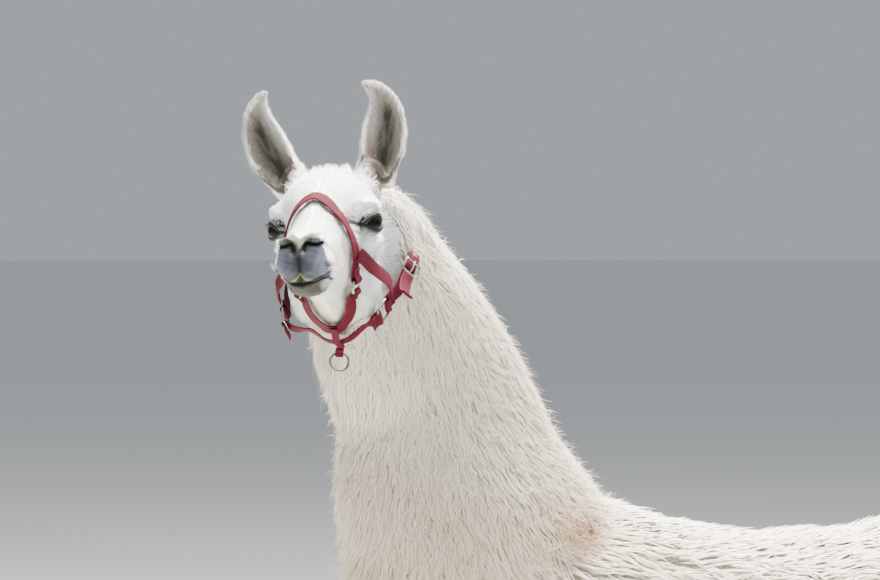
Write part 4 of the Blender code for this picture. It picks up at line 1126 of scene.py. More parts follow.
def finished(obj: Object, material: Material, slot: Slot, *nodes: str) -> None:
    """Dresses a piece and ties it to the frame.

    Args:
        obj: The piece.
        material: Its finish.
        slot: Not used.
        nodes: The solids that it stands for.
    """
    obj.data.materials.clear()
    obj.data.materials.append(material)
    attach(obj, ROOT)
    if nodes:
        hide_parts(*nodes)
    obj.data.calc_loop_triangles()
    log.info("%s: %d triangles", obj.name, len(obj.data.loop_triangles))


def nodes_of(start: str) -> list[str]:
    """Names of the frame's nodes that start so, in order."""
    return sorted(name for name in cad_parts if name.startswith(start))


def read(items: bpy.types.bpy_prop_collection, name: str, width: int, kind: type = np.float32) -> Array:
    """A property of a mesh's items, one row to an item."""
    flat = np.empty(len(items) * width, kind)
    items.foreach_get(name, flat)
    return flat.reshape(-1, width)


def node_copy(name: str) -> bmesh.types.BMesh:
    """A solid's mesh with its loose triangles joined up."""
    bm = bmesh.new()
    bm.from_mesh(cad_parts[name].data)
    bmesh.ops.remove_doubles(bm, verts=bm.verts, dist=2e-5)
    bm.normal_update()
    return bm


def grow(bm: bmesh.types.BMesh, by: float) -> None:
    """Moves each vertex along its way out."""
    for vert, way in [(v, v.normal.copy()) for v in bm.verts]:
        vert.co += way * by


def quads(bm: bmesh.types.BMesh, flat_deg: float, square_deg: float) -> None:
    """Joins triangles to quads where they lie flat and square enough."""
    flat, square = math.radians(flat_deg), math.radians(square_deg)
    bmesh.ops.join_triangles(bm, faces=bm.faces, angle_face_threshold=flat, angle_shape_threshold=square)


def applied(obj: Object) -> Mesh:
    """The object's mesh with its modifiers, and the object removed."""
    bpy.context.view_layer.update()
    done = obj.evaluated_get(bpy.context.evaluated_depsgraph_get())
    mesh = bpy.data.meshes.new_from_object(done)
    bpy.data.objects.remove(obj)
    return mesh


def coordinates(mesh: Mesh) -> Array:
    """The places of a mesh's vertices."""
    return read(mesh.vertices, "co", 3).astype(float)


def normals_of(mesh: Mesh) -> Array:
    """The ways out at a mesh's vertices."""
    return read(mesh.vertex_normals, "vector", 3).astype(float)


def store(items: bpy.types.bpy_prop_collection, name: str, values: Array, kind: type = np.float32) -> None:
    """Sets a property of a mesh's items."""
    items.foreach_set(name, values.astype(kind).ravel())


def put_back(mesh: Mesh, points: Array) -> None:
    """Moves a mesh's vertices."""
    store(mesh.vertices, "co", points)
    mesh.update()


def weigh(obj: Object, name: str, weights: Array) -> None:
    """Adds a vertex group, with weights rounded to a few levels."""
    levels = 12
    group = obj.vertex_groups.new(name=name)
    rounded = np.rint(np.clip(weights, 0, 1) * levels).astype(int)
    for level in range(1, levels + 1):
        group.add(np.nonzero(rounded == level)[0].tolist(), level / levels, "REPLACE")


def carry(mesh: Mesh, name: str, values: Array) -> None:
    """Stores a number or a colour for each vertex."""
    if values.ndim == 1:
        store(mesh.attributes.new(name, "FLOAT", "POINT").data, "value", values)
        return
    rgba = np.hstack([values, np.ones((len(values), 1))])
    store(mesh.attributes.new(name, "FLOAT_COLOR", "POINT").data, "color", rgba)


def swept(rings: Array, closed: bool) -> bmesh.types.BMesh:
    """A tube through rings of points, joined ring to ring.

    Args:
        rings: Places, by ring and by point round the ring.
        closed: Whether the last ring joins the first. Otherwise both ends are capped.

    Returns:
        A closed surface that faces outwards.
    """
    bm = bmesh.new()
    loops = []
    for ring in rings:
        verts = [bm.verts.new(tuple(point)) for point in ring]
        loops.append([bm.edges.new((verts[k - 1], verts[k])) for k in range(len(verts))])
    pairs = list(zip(loops, loops[1:] + loops[:1])) if closed else list(zip(loops, loops[1:]))
    for one, other in pairs:
        bmesh.ops.bridge_loops(bm, edges=one + other)
    if not closed:
        for loop in (loops[0], loops[-1]):
            bmesh.ops.contextual_create(bm, geom=loop)
    bmesh.ops.recalc_face_normals(bm, faces=bm.faces)
    if bm.calc_volume(signed=True) < 0:
        bmesh.ops.reverse_faces(bm, faces=bm.faces)
    return bm


def tube(line: Array, side: Array, wide: Array, angles: Array) -> Array:
    """Rings round a line.

    Args:
        line: Its points.
        side: A way that no part of the line follows.
        wide: Radius at each point, or one for all.
        angles: Where the points of a ring lie.

    Returns:
        Places, by ring and by point round the ring.
    """
    across = unit(np.cross(unit(np.gradient(line, axis=0)), side))
    over = np.cross(across, unit(np.gradient(line, axis=0)))
    spokes = across[:, None] * np.cos(angles)[:, None] + over[:, None] * np.sin(angles)[:, None]
    return line[:, None] + spokes * np.reshape(wide, (-1, 1, 1))


# ---- skin


# The crown strap leaves the coat's surface and is sunk in it above these heights of the head's frame.
SURFACED_AT, SUNK_AT, SUNK_DEPTH = -0.132, -0.106, 0.0097


@dataclass
class Skin:
    """The one skin under the coat, with the folds of the face."""

    animal: Animal
    voxel: float = 0.0031  # edge of the cells that fuse the solids
    grown: float = 0.0009  # how far the solids are grown first, to close the cuts between them
    faces: int = 98_000  # triangles left after thinning, before the face is refined
    rounds: int = 60  # of smoothing on body and neck
    swell: float = 0.0012  # how much the smoothing shrinks them, put back afterwards
    muzzle_from: tuple = (-0.225, -0.280)  # where faces are split once and twice, before these places
    round_eyes: tuple = (0.034, 0.029)  # and so near the middles of the eyes
    obj: Object = field(init=False)

    def flesh(self) -> list[str]:
        """The nodes that the skin stands for."""
        apart = ("eye_", "nail_", "halter_")
        return sorted(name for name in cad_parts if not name.startswith(apart))

    def fused(self) -> Object:
        """All the flesh as one closed surface, with the cuts, eye sockets and strap's channel filled."""
        whole = bmesh.new()
        for name in self.flesh():
            bm = node_copy(name)
            grow(bm, self.grown)
            absorb(whole, bm)
        for side in SIDES:
            low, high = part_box("eye_" + side)
            place = Matrix.Translation((low + high) / 2)
            size = self.animal.eye_radius + 0.001
            bmesh.ops.create_icosphere(whole, subdivisions=3, radius=size, matrix=place)
        absorb(whole, self.channel_filling())
        obj = new_piece("fused", whole)
        remesh = obj.modifiers.new("fuse", "REMESH")
        remesh.mode, remesh.voxel_size = "VOXEL", self.voxel
        return obj

    def channel_filling(self) -> bmesh.types.BMesh:
        """Fills the channel of the sunken strap up to the coat."""
        path = StrapPath.of("halter_crown_strap", Halter.width)
        heights = self.animal.to_head(path.middle)[:, 2]
        sunk = np.nonzero(heights > SURFACED_AT)[0]
        sunk = sunk[(sunk > 4) & (sunk < len(heights) - 5)]
        rings = []
        for k in range(sunk.min(), sunk.max() + 1):
            top = np.interp(heights[k], [SURFACED_AT, SUNK_AT], [-0.002, SUNK_DEPTH])
            corners = [(-1, -0.004), (1, -0.004), (1, top), (-1, top)]
            rings.append([path.middle[k] + path.across[k] * u * 0.0108 + path.out[k] * v for u, v in corners])
        return swept(np.array(rings), closed=False)

    def build(self) -> Object:
        """Makes the skin, sculpts it and stores its colours."""
        obj = linked("skin", applied(self.fused()))
        points = coordinates(obj.data)
        head, ears = self.animal.headness(points), self.animal.earness(points)
        feet = ramp(0.12, 0.06, points[:, 2])
        weigh(obj, "soft", 1 - np.maximum(head, feet))
        weigh(obj, "half", np.maximum(head, ears))
        for name, rounds in (("soft", self.rounds), ("half", 7)):
            smooth = obj.modifiers.new(name, "SMOOTH")
            smooth.factor, smooth.iterations, smooth.vertex_group = 0.5, rounds, name
        obj = linked("skin", applied(obj))
        points = coordinates(obj.data)
        near = np.maximum(self.animal.headness(points), ramp(0.12, 0.05, points[:, 2]) * 0.8)
        weigh(obj, "coarse", 1 - 0.93 * near)
        thin = obj.modifiers.new("thin", "DECIMATE")
        thin.ratio = self.faces / (2 * len(obj.data.polygons))
        thin.vertex_group, thin.vertex_group_factor = "coarse", 0.6
        mesh = applied(obj)
        points = coordinates(mesh)
        inwards = self.animal.coat_depth(points) + self.grown
        inwards -= self.swell * (1 - self.animal.headness(points)) * (1 - self.animal.earness(points))
        points -= normals_of(mesh) * inwards[:, None]
        points[:, 2] = np.maximum(points[:, 2], 0.0003)
        put_back(mesh, points)
        log.info("skin before the face is refined: %d faces", len(mesh.polygons))
        self.refine(mesh)
        self.sculpt(mesh)
        self.obj = linked("skin", mesh)
        mesh.shade_smooth()
        points, ways = coordinates(mesh), normals_of(mesh)
        carry(mesh, TINT, self.animal.tint(points, ways))
        carry(mesh, BARE, self.bareness(points))
        self.unwrap()
        return self.obj

    def refine(self, mesh: Mesh) -> None:
        """Splits the faces of the muzzle and round the eyes once or twice, and rounds them off."""
        bm = bmesh.new()
        bm.from_mesh(mesh)
        centres = [self.animal.eye_centre(side) for side in SIDES]

        def wanted(step: int) -> list:
            """Edges to split in a step."""
            q = self.animal.to_head(np.array([v.co for v in bm.verts]))
            low, high = np.array([-np.inf, -0.40, -0.30]), np.array([np.inf, self.muzzle_from[step], -0.05])
            muzzle = ((q > low) & (q < high)).all(1)
            eyes = np.min([np.linalg.norm(q - c, axis=1) for c in centres], axis=0) < self.round_eyes[step]
            chosen = muzzle | eyes
            return [e for e in bm.edges if chosen[e.verts[0].index] and chosen[e.verts[1].index]]

        for step in range(2):
            bm.verts.index_update()
            bmesh.ops.subdivide_edges(bm, edges=wanted(step), cuts=1, use_grid_fill=True)
            bmesh.ops.triangulate(bm, faces=[f for f in bm.faces if len(f.verts) > 3])
            bm.verts.index_update()
            verts = list({v for e in wanted(step) for v in e.verts})
            axes = {"use_axis_x": True, "use_axis_y": True, "use_axis_z": True}
            for _ in range(3):
                bmesh.ops.smooth_vert(bm, verts=verts, factor=0.5, **axes)
        bm.to_mesh(mesh)
        bm.free()

    def sculpt(self, mesh: Mesh) -> None:
        """Presses nostrils, lips, folds and eyelids into the face."""
        points = coordinates(mesh)
        q = self.animal.to_head(points)
        face = Clay(q, normals_of(mesh) @ self.animal.axes())
        aside = np.array([self.animal.muzzle_aside, 0, 0])
        for strokes, signs in ((SIDE_STROKES, (1, -1)), (MIDDLE_STROKES, (1,))):
            for sign in signs:
                for stroke in strokes:
                    line = (stroke.line + stroke.shift) * [sign, 1, 1] + aside * stroke.on_muzzle
                    way = np.array([-sign * 0.1, 0.9, 0.35]) if stroke.steep else None
                    face.press(line, stroke.width, stroke.depth, way)
        for side, sign in SIDES.items():
            face.wrap_eye(self.animal.eye_centre(side), sign)
        put_back(mesh, self.animal.from_head(face.points))

    def bareness(self, points: Array) -> Array:
        """1 on the naked skin of nose, lips and eyelids."""
        q = self.animal.to_head(points)
        lids = ramp(0.0040, 0.0010, self.animal.lid_gap(q))
        return np.maximum(self.animal.nakedness(q) * self.animal.headness(points), lids)

    def unwrap(self) -> None:
        """Gives the skin its map, made from its own shape."""
        self.obj.data.uv_layers.new(name=UV_MAP)
        bpy.context.view_layer.objects.active = self.obj
        self.obj.select_set(True)
        bpy.ops.object.mode_set(mode="EDIT")
        bpy.ops.mesh.select_all(action="SELECT")
        bpy.ops.uv.smart_project(angle_limit=math.radians(72), island_margin=0.003, area_weight=0.6)
        bpy.ops.object.mode_set(mode="OBJECT")
        self.obj.select_set(False)


@dataclass
class Clay:
    """Vertices of the face that brushes move, in the head's frame."""

    points: Array
    ways: Array

    def onto(self, line: Array) -> Array:
        """A line's points moved to the nearest vertices, so that a brush follows the surface."""
        dense = curve(line, 4 * (len(line) - 1) + 1)
        gaps = np.linalg.norm(self.points[None, :, :] - dense[:, None, :], axis=2)
        return self.points[gaps.argmin(axis=1)]

    def press(self, line: Array, width: float, depth: float, way: Optional[Array]) -> None:
        """Presses a line in.

        Args:
            line: Points along it.
            width: Half its width.
            depth: How deep it is. A ridge's is negative.
            way: The way in. Without one, it is straight into the surface.
        """
        near = indices_near(self.points, line, 3.0 * width + 0.012)
        sub = Clay(self.points[near], self.ways[near])
        gap = away_from_line(sub.points, sub.onto(line))
        inward = -sub.ways if way is None else unit(way)
        self.points[near] = sub.points + inward * (depth * bell(gap, width))[:, None]

    def wrap_eye(self, centre: Array, sign: int) -> None:
        """Draws lids over an eyeball and opens them along the almond of their edges."""
        away = self.points - centre
        reach = np.linalg.norm(away, axis=1)
        near = reach < 2.0 * LIDS.radius
        gap = LIDS.margin_gap(away, sign)
        _, height, facing = LIDS.flat(away, sign)
        sinks = 0.55 * np.maximum(gap - 0.0028, 0)
        lid = LIDS.radius + LIDS.thick + 0.0006 * bell(gap - 0.0030, 0.0022) - sinks
        lid -= 0.0010 * bell(gap - 0.0062, 0.0014) * (height > 0)
        eased = 0.5 * (reach + lid + np.sqrt((reach - lid) ** 2 + 0.0024**2))
        cover = ramp(0.010, 0.003, gap)
        wrapped = eased + (lid - eased) * cover
        wrapped = reach + (wrapped - reach) * ramp(0.10, 0.35, facing)
        inside = ramp(0.0002, -0.0007, gap)
        wrapped = wrapped + (LIDS.radius - 0.0030 - wrapped) * inside
        moved = near & (facing > 0.1)
        self.points[moved] = centre + away[moved] * (wrapped / reach)[moved, None]


# ---- coat


@dataclass(frozen=True)
class LockStyle:
    """How the tufts of one part of the coat are cut."""

    spacing: float  # from one root to the next
    length: float
    width: float  # at the root
    rings: int = 2  # cross-sections before the tip
    vary: float = 0.25  # share by which the length varies
    tips: tuple = (0.35, 1.0)  # heights of the tips over the skin, as shares of the coat's depth
    wave: tuple = (0.03, 1.0)  # sideways swing as a share of the length, and waves along it
    clump: tuple = (0.0, 0.012)  # how far the tips are drawn together, and over what distance
    stray: float = 0.12  # how far the lie wanders, in radians
    curl: float = 0.0  # how much the swing differs from place to place, as a share


@dataclass
class Coat:
    """Grows tufts from the skin."""

    animal: Animal
    skin: Skin
    wool: Material
    limit: int = 190_000
    total: int = 0

    def __post_init__(self) -> None:
        """Reads the skin's triangles, normals and map."""
        mesh = self.skin.obj.data
        mesh.calc_loop_triangles()
        self.points, self.ways = coordinates(mesh), normals_of(mesh)
        self.corners = read(mesh.loop_triangles, "vertices", 3, np.int32)
        self.uv = read(mesh.uv_layers[UV_MAP].data, "uv", 2)[read(mesh.loop_triangles, "loops", 3, np.int32)]
        a, b, c = (self.points[self.corners[:, k]] for k in range(3))
        self.areas = np.linalg.norm(np.cross(b - a, c - a), axis=1) / 2
        self.middles = (a + b + c) / 3
        self.tree = BVHTree.FromPolygons(self.points.tolist(), self.corners.tolist())

    def roots(self, where: Field, spacing: float, seed: int) -> dict[str, Array]:
        """Scatters roots evenly over part of the skin.

        Args:
            where: Share of the full density, from 0 to 1, by place.
            spacing: From one root to the next.
            seed: Of the random draws.

        Returns:
            Places, ways out and map places, by name.
        """
        rng = np.random.default_rng(seed)
        share = self.areas * np.clip(where(self.middles), 0, 1)
        tries = int(share.sum() / spacing**2 * 2.4)
        picked = rng.choice(len(share), tries, p=share / share.sum())
        one, two = np.sqrt(rng.random(tries)), rng.random(tries)
        parts = np.stack([1 - one, one * (1 - two), one * two], 1)
        at = np.einsum("nk,nkd->nd", parts, self.points[self.corners[picked]])
        cells = np.floor(at / (spacing * 0.92)).astype(np.int64)
        _, first = np.unique(cells @ HASH, return_index=True)
        first.sort()
        picked, parts, at = picked[first], parts[first], at[first]
        ways = unit(np.einsum("nk,nkd->nd", parts, self.ways[self.corners[picked]]))
        uv = np.einsum("nk,nkd->nd", parts, self.uv[picked])
        return {"at": at, "way": ways, "uv": uv}

    def nearest(self, points: Array) -> tuple[Array, Array]:
        """The nearest places of the skin and the ways out there."""
        found = [self.tree.find_nearest(point)[:2] for point in points.tolist()]
        return np.array([f[0] for f in found]), np.array([f[1] for f in found])

    def grow(self, name: str, style: LockStyle, where: Field, seed: int, lie: Callable) -> None:
        """Grows one part of the coat, as pieces of less than the limit of triangles each.

        Args:
            name: Of the part.
            style: How its tufts are cut.
            where: Share of the full density by place.
            seed: Of the random draws.
            lie: The way the tufts lie, by place and way out.
        """
        rng = np.random.default_rng(seed)
        root = self.roots(where, style.spacing, seed)
        at, way = root["at"], root["way"]
        count, rings = len(at), style.rings
        depth = self.animal.coat_depth(at)
        ahead = lie(at, way)
        angle = rng.normal(0, style.stray, count) + 0.5 * style.stray * ripple(at, 0.05, seed + 1)
        ahead = unit(ahead * np.cos(angle)[:, None] + np.cross(way, ahead) * np.sin(angle)[:, None])
        length = style.length * (1 + style.vary * rng.uniform(-1, 1, count)) * self.fade(at)
        tip = depth * rng.uniform(*style.tips, count)
        stations = [at - way * 0.0006]
        frames = [(way, ahead)]
        here = at
        for ring in range(1, rings + 1):
            step = (length / rings)[:, None]
            near, out = self.nearest(here + ahead * step)
            ahead = unit(ahead - (ahead * out).sum(1)[:, None] * out)
            height = tip * (ring / rings) ** 0.75
            here = near
            stations.append(near + out * height[:, None])
            frames.append((out, ahead))
        path = np.stack(stations, 1)
        if style.clump[0] > 0:
            path = self.clumped(path, style, seed)
        self.finish(name, style, path, frames, length, root, rng)

    def fade(self, at: Array) -> Array:
        """Shorter tufts towards the nose, eyes and feet."""
        q = self.animal.to_head(at)
        nose = 1 - 0.55 * ramp(-0.17, -0.30, q[:, 1]) * self.animal.headness(at)
        nose *= 1 - 0.45 * self.animal.ear_mouth(q)
        for side in SIDES:
            gap = np.linalg.norm(q - self.animal.eye_centre(side), axis=1)
            nose *= 1 - 0.68 * ramp(0.046, 0.028, gap)
        return nose

    def clumped(self, path: Array, style: LockStyle, seed: int) -> Array:
        """Draws tips together into locks.

        Args:
            path: Stations, by tuft and ring.
            style: Its clump gives how far, and over what distance.
            seed: Of the choice of the leading tufts.

        Returns:
            The moved stations.
        """
        pull, reach = style.clump
        roots = path[:, 0]
        cells = np.floor(roots / reach + ripple(roots, reach * 3, seed + 5)[:, None] * 0.3).astype(np.int64)
        _, leaders = np.unique(cells @ HASH, return_index=True)
        tree = KDTree(len(leaders))
        for index, leader in enumerate(leaders):
            tree.insert(roots[leader], index)
        tree.balance()
        mine = leaders[[tree.find(root)[1] for root in roots.tolist()]]
        shift = path[mine] - path
        shift -= (roots[mine] - roots)[:, None, :] * 0.12
        share = (np.linspace(0, 1, path.shape[1]) ** 1.4)[None, :, None] * pull
        return path + shift * share

    def finish(
        self, name: str, style: LockStyle, path: Array, frames: list, length: Array, root: dict, rng: Random
    ) -> None:
        """Waves the paths, wraps a tapered prism round each and shares them out among pieces.

        Args:
            name: Of this part of the coat.
            style: How its tufts are cut.
            path: Stations, by tuft and ring.
            frames: The skin's ways out and the ways ahead, ring by ring.
            length: Of each tuft.
            root: Places, ways out and map places of the roots.
            rng: Gives the random draws.
        """
        at = root["at"]
        count, stations = path.shape[:2]
        share = np.linspace(0, 1, stations)
        phase = rng.uniform(0, 2 * np.pi, count) * 0.35 + 2.2 * ripple(at, 0.035, 77)
        swing = np.sin(phase[:, None] + 2 * np.pi * style.wave[1] * share) * share**0.6
        swing *= (style.wave[0] * length * (1 + style.curl * ripple(at, 0.11, 78)))[:, None]
        lateral = np.stack([np.cross(out, ahead) for out, ahead in frames], 1)
        outward = np.stack([out for out, _ in frames], 1)
        path = path + lateral * swing[..., None]
        size = style.width * rng.uniform(0.75, 1.25, count)[:, None] * (1 - share[None, :] ** 1.6) * 0.5
        thick = size * 0.55
        rows, leans = [], []
        for ring in range(stations - 1):
            side = lateral[:, ring] * size[:, ring, None]
            lift = outward[:, ring] * thick[:, ring, None]
            rows += [path[:, ring] - side, path[:, ring] + side, path[:, ring] + lift]
            leans += [outward[:, ring] + lateral[:, ring] * lean for lean in (-0.65, 0.65, 0.0)]
        rows.append(path[:, -1])
        leans.append(outward[:, -1])
        verts, leans = np.stack(rows, 1), unit(np.stack(leans, 1))
        tint = self.animal.tint(at, root["way"]) * rng.uniform(0.90, 1.06, count)[:, None]
        faces = self.pattern(stations - 1)
        order = np.argsort(at @ np.array([0.05, 0.35, -1.0]), kind="stable")
        pieces = math.ceil(count / max(1, self.limit // len(faces)))
        for number, part in enumerate(np.array_split(order, pieces)):
            label = name if pieces == 1 else f"{name}_{number + 1}"
            obj = self.piece(label, verts[part], faces, root["uv"][part], tint[part], share)
            obj.data.normals_split_custom_set_from_vertices(leans[part].reshape(-1, 3))
            finished(obj, self.wool, Slot.WOOL)
            self.total += len(part) * len(faces)

    @staticmethod
    def pattern(rings: int) -> Array:
        """Triangles of one tuft: three corners to a ring, a cap on the root and a point."""
        faces = [(0, 2, 1)]
        for ring in range(rings - 1):
            for k in range(3):
                a, b = 3 * ring + k, 3 * ring + (k + 1) % 3
                faces += [(a, b, b + 3), (a, b + 3, a + 3)]
        last = 3 * (rings - 1)
        faces += [(last + k, last + (k + 1) % 3, last + 3) for k in range(3)]
        return np.array(faces)

    @staticmethod
    def piece(
        name: str, verts: Array, faces: Array, uv: Array, tint: Array, share: Array
    ) -> Object:
        """One mesh of many tufts, each with its patch on the skin's map.

        Args:
            name: Of the piece.
            verts: Places, by tuft and corner.
            faces: Corners of one tuft's triangles.
            uv: Map places of the roots.
            tint: Colours of the tufts.
            share: How far each ring is from root to tip.

        Returns:
            The piece, without a finish.
        """
        tufts, per = verts.shape[:2]
        mesh = bpy.data.meshes.new(name)
        triangles = (np.arange(tufts)[:, None, None] * per + faces[None]).reshape(-1, 3)
        mesh.vertices.add(tufts * per)
        store(mesh.vertices, "co", verts)
        mesh.loops.add(triangles.size)
        store(mesh.loops, "vertex_index", triangles, np.int32)
        mesh.polygons.add(len(triangles))
        store(mesh.polygons, "loop_start", np.arange(0, triangles.size, 3), np.int32)
        store(mesh.polygons, "use_smooth", np.ones(len(triangles)), bool)
        corner = np.array([(-1.0, 0.0), (1.0, 0.0), (0.0, 0.6)]) * PATCH / 2
        spots = np.vstack([np.tile(corner, (len(share) - 1, 1)), [(0.0, 0.0)]])
        spots[:, 1] += PATCH * (np.repeat(share, 3)[:per] - 0.5)
        patch = (uv[:, None, :] + spots[None]).reshape(-1, 2)[triangles.ravel()]
        store(mesh.uv_layers.new(name=UV_MAP).data, "uv", patch)
        root_to_tip = np.repeat(0.88 + 0.16 * share, 3)[:per]
        colour = np.clip(tint[:, None, :] * root_to_tip[None, :, None], 0.01, 0.95)
        carry(mesh, TINT, colour.reshape(-1, 3))
        mesh.update()
        mesh.validate()
        return linked(name, mesh)


@dataclass
class CoatPlan:
    """Which tufts grow where."""

    animal: Animal
    coat: Coat
    leg_top: float = 0.50
    sole_edge: float = 0.006
    tail_from: float = 0.83

    def in_hollows(self, points: Array) -> Array:
        """True in the hollows of both ears."""
        q = self.animal.to_head(points)
        ways = self.coat.nearest(points)[1] @ self.animal.axes()
        found = self.animal.ear_mouth(q) > 0.5
        near = np.maximum(self.animal.earness(points), self.animal.ear_root(q)) > 0.3
        for pose in self.animal.ears:
            inner, rim, _, _ = pose.hollow(q, ways)
            found |= (inner * (1 - rim) > 0.5) & near & (q[:, 0] * SIDES[pose.side] > 0)
        return found

    def on_head(self, points: Array) -> Array:
        """The furred part of the head, without ears, lids and the naked nose."""
        q = self.animal.to_head(points)
        naked = ramp(0.35, 0.65, self.animal.nakedness(q))
        naked = np.maximum(naked, ramp(0.0045, 0.0030, self.animal.lid_gap(q)))
        furred = (self.animal.headness(points) > 0.5) & ~self.in_hollows(points)
        return furred * (1 - self.animal.earness(points)) * (1 - naked)

    def on_ears(self, points: Array) -> Array:
        """The backs and rims of the ears."""
        return (self.animal.earness(points) > 0.3) & ~self.in_hollows(points)

    def on_poll(self, points: Array) -> Array:
        """Between and behind the ears."""
        _, y, z = self.animal.to_head(points).T
        top = ramp(-0.034, -0.016, z) * ramp(-0.075, -0.045, y) * ramp(0.075, 0.060, y)
        return top * (1 - self.animal.earness(points)) * ~self.in_hollows(points)

    def on_whiskers(self, points: Array) -> Array:
        """Two small tufts beside the lips."""
        m = self.animal.muzzle(self.animal.to_head(points))
        return bell(np.linalg.norm(m * np.sign(m[:, :1]) ** [1, 0, 0] - WHISKERS, axis=1), 0.0045)

    def on_neck(self, points: Array) -> Array:
        """From behind the jaw to the shoulders."""
        return self.above_shoulders(points) & (self.animal.headness(points) <= 0.5)

    def on_trunk(self, points: Array) -> Array:
        """Trunk and the tops of the legs."""
        body = self.animal.to_withers(points)
        rest = ~self.above_shoulders(points) & (self.animal.headness(points) <= 0.5)
        return rest & (body[:, 2] > self.leg_top) & (body[:, 1] < self.tail_from)

    def on_legs(self, points: Array) -> Array:
        """The lower legs, down to the soles' edges."""
        leg = (points[:, 2] <= self.leg_top) & (points[:, 2] > self.sole_edge)
        return leg & (self.animal.to_withers(points)[:, 1] < self.tail_from)

    def on_tail(self, points: Array) -> Array:
        """The tail."""
        body = self.animal.to_withers(points)
        return (body[:, 1] >= self.tail_from) & (body[:, 2] > self.leg_top)

    def above_shoulders(self, points: Array) -> Array:
        """True in front of and over the shoulders."""
        body = self.animal.to_withers(points)
        return body[:, 2] - 0.50 * body[:, 1] > 1.06

    def outwards(self, points: Array, ways: Array) -> Array:
        """A lie that spreads outwards and forwards, for whiskers."""
        q = self.animal.to_head(points)
        way = columns(np.sign(q[:, 0]), -0.25, -0.1) @ self.animal.axes().T
        return unit(way - (way * ways).sum(1)[:, None] * ways)

    def build(self) -> None:
        """Grows the whole coat."""
        neck = LockStyle(0.0042, 0.038, 0.0025, rings=4, tips=(0.60, 1.20), wave=(0.075, 1.7), stray=0.30)
        fringe = LockStyle(0.0115, 0.026, 0.0011, rings=3, tips=(1.1, 1.75), wave=(0.10, 1.3), stray=0.7)
        trunk = LockStyle(0.0090, 0.055, 0.0062, rings=3, tips=(0.55, 1.20), wave=(0.055, 1.2), stray=0.28)
        tail = LockStyle(0.0060, 0.065, 0.0040, rings=3, tips=(0.5, 1.1), wave=(0.05, 1.2))
        face = LockStyle(0.0025, 0.0100, 0.0014, tips=(0.2, 0.85), stray=0.16)
        poll = LockStyle(0.0028, 0.0170, 0.0013, rings=3, tips=(0.9, 1.9), stray=0.6)
        hollow = LockStyle(0.0024, 0.0110, 0.0011, tips=(0.2, 1.0), stray=0.30)
        ears = LockStyle(0.0022, 0.0105, 0.0010, tips=(0.8, 4.2), stray=0.5)
        whiskers = LockStyle(0.0012, 0.0120, 0.0007, tips=(2.0, 7.0), stray=0.5, vary=0.4)
        legs = LockStyle(0.0062, 0.024, 0.0042, tips=(0.4, 1.0), stray=0.15)
        for name, style, where, seed in (
            ("face", face, self.on_head, 101),
            ("poll", poll, self.on_poll, 102),
            ("ears_inside", hollow, self.in_hollows, 103),
            ("ears", ears, self.on_ears, 108),
            ("whiskers", whiskers, self.on_whiskers, 109),
            ("neck", replace(neck, clump=(0.45, 0.013), curl=0.8), self.on_neck, 104),
            ("fringe", replace(fringe, vary=0.5), self.on_neck, 110),
            ("trunk", replace(trunk, clump=(0.5, 0.026)), self.on_trunk, 105),
            ("legs", legs, self.on_legs, 106),
            ("tail", replace(tail, clump=(0.5, 0.025)), self.on_tail, 107),
        ):
            lie = self.outwards if name == "whiskers" else self.animal.lie
            self.coat.grow("coat_" + name, style, where, seed, lie)
        log.info("coat: %d triangles", self.coat.total)


# ---- eyes, lids and nails


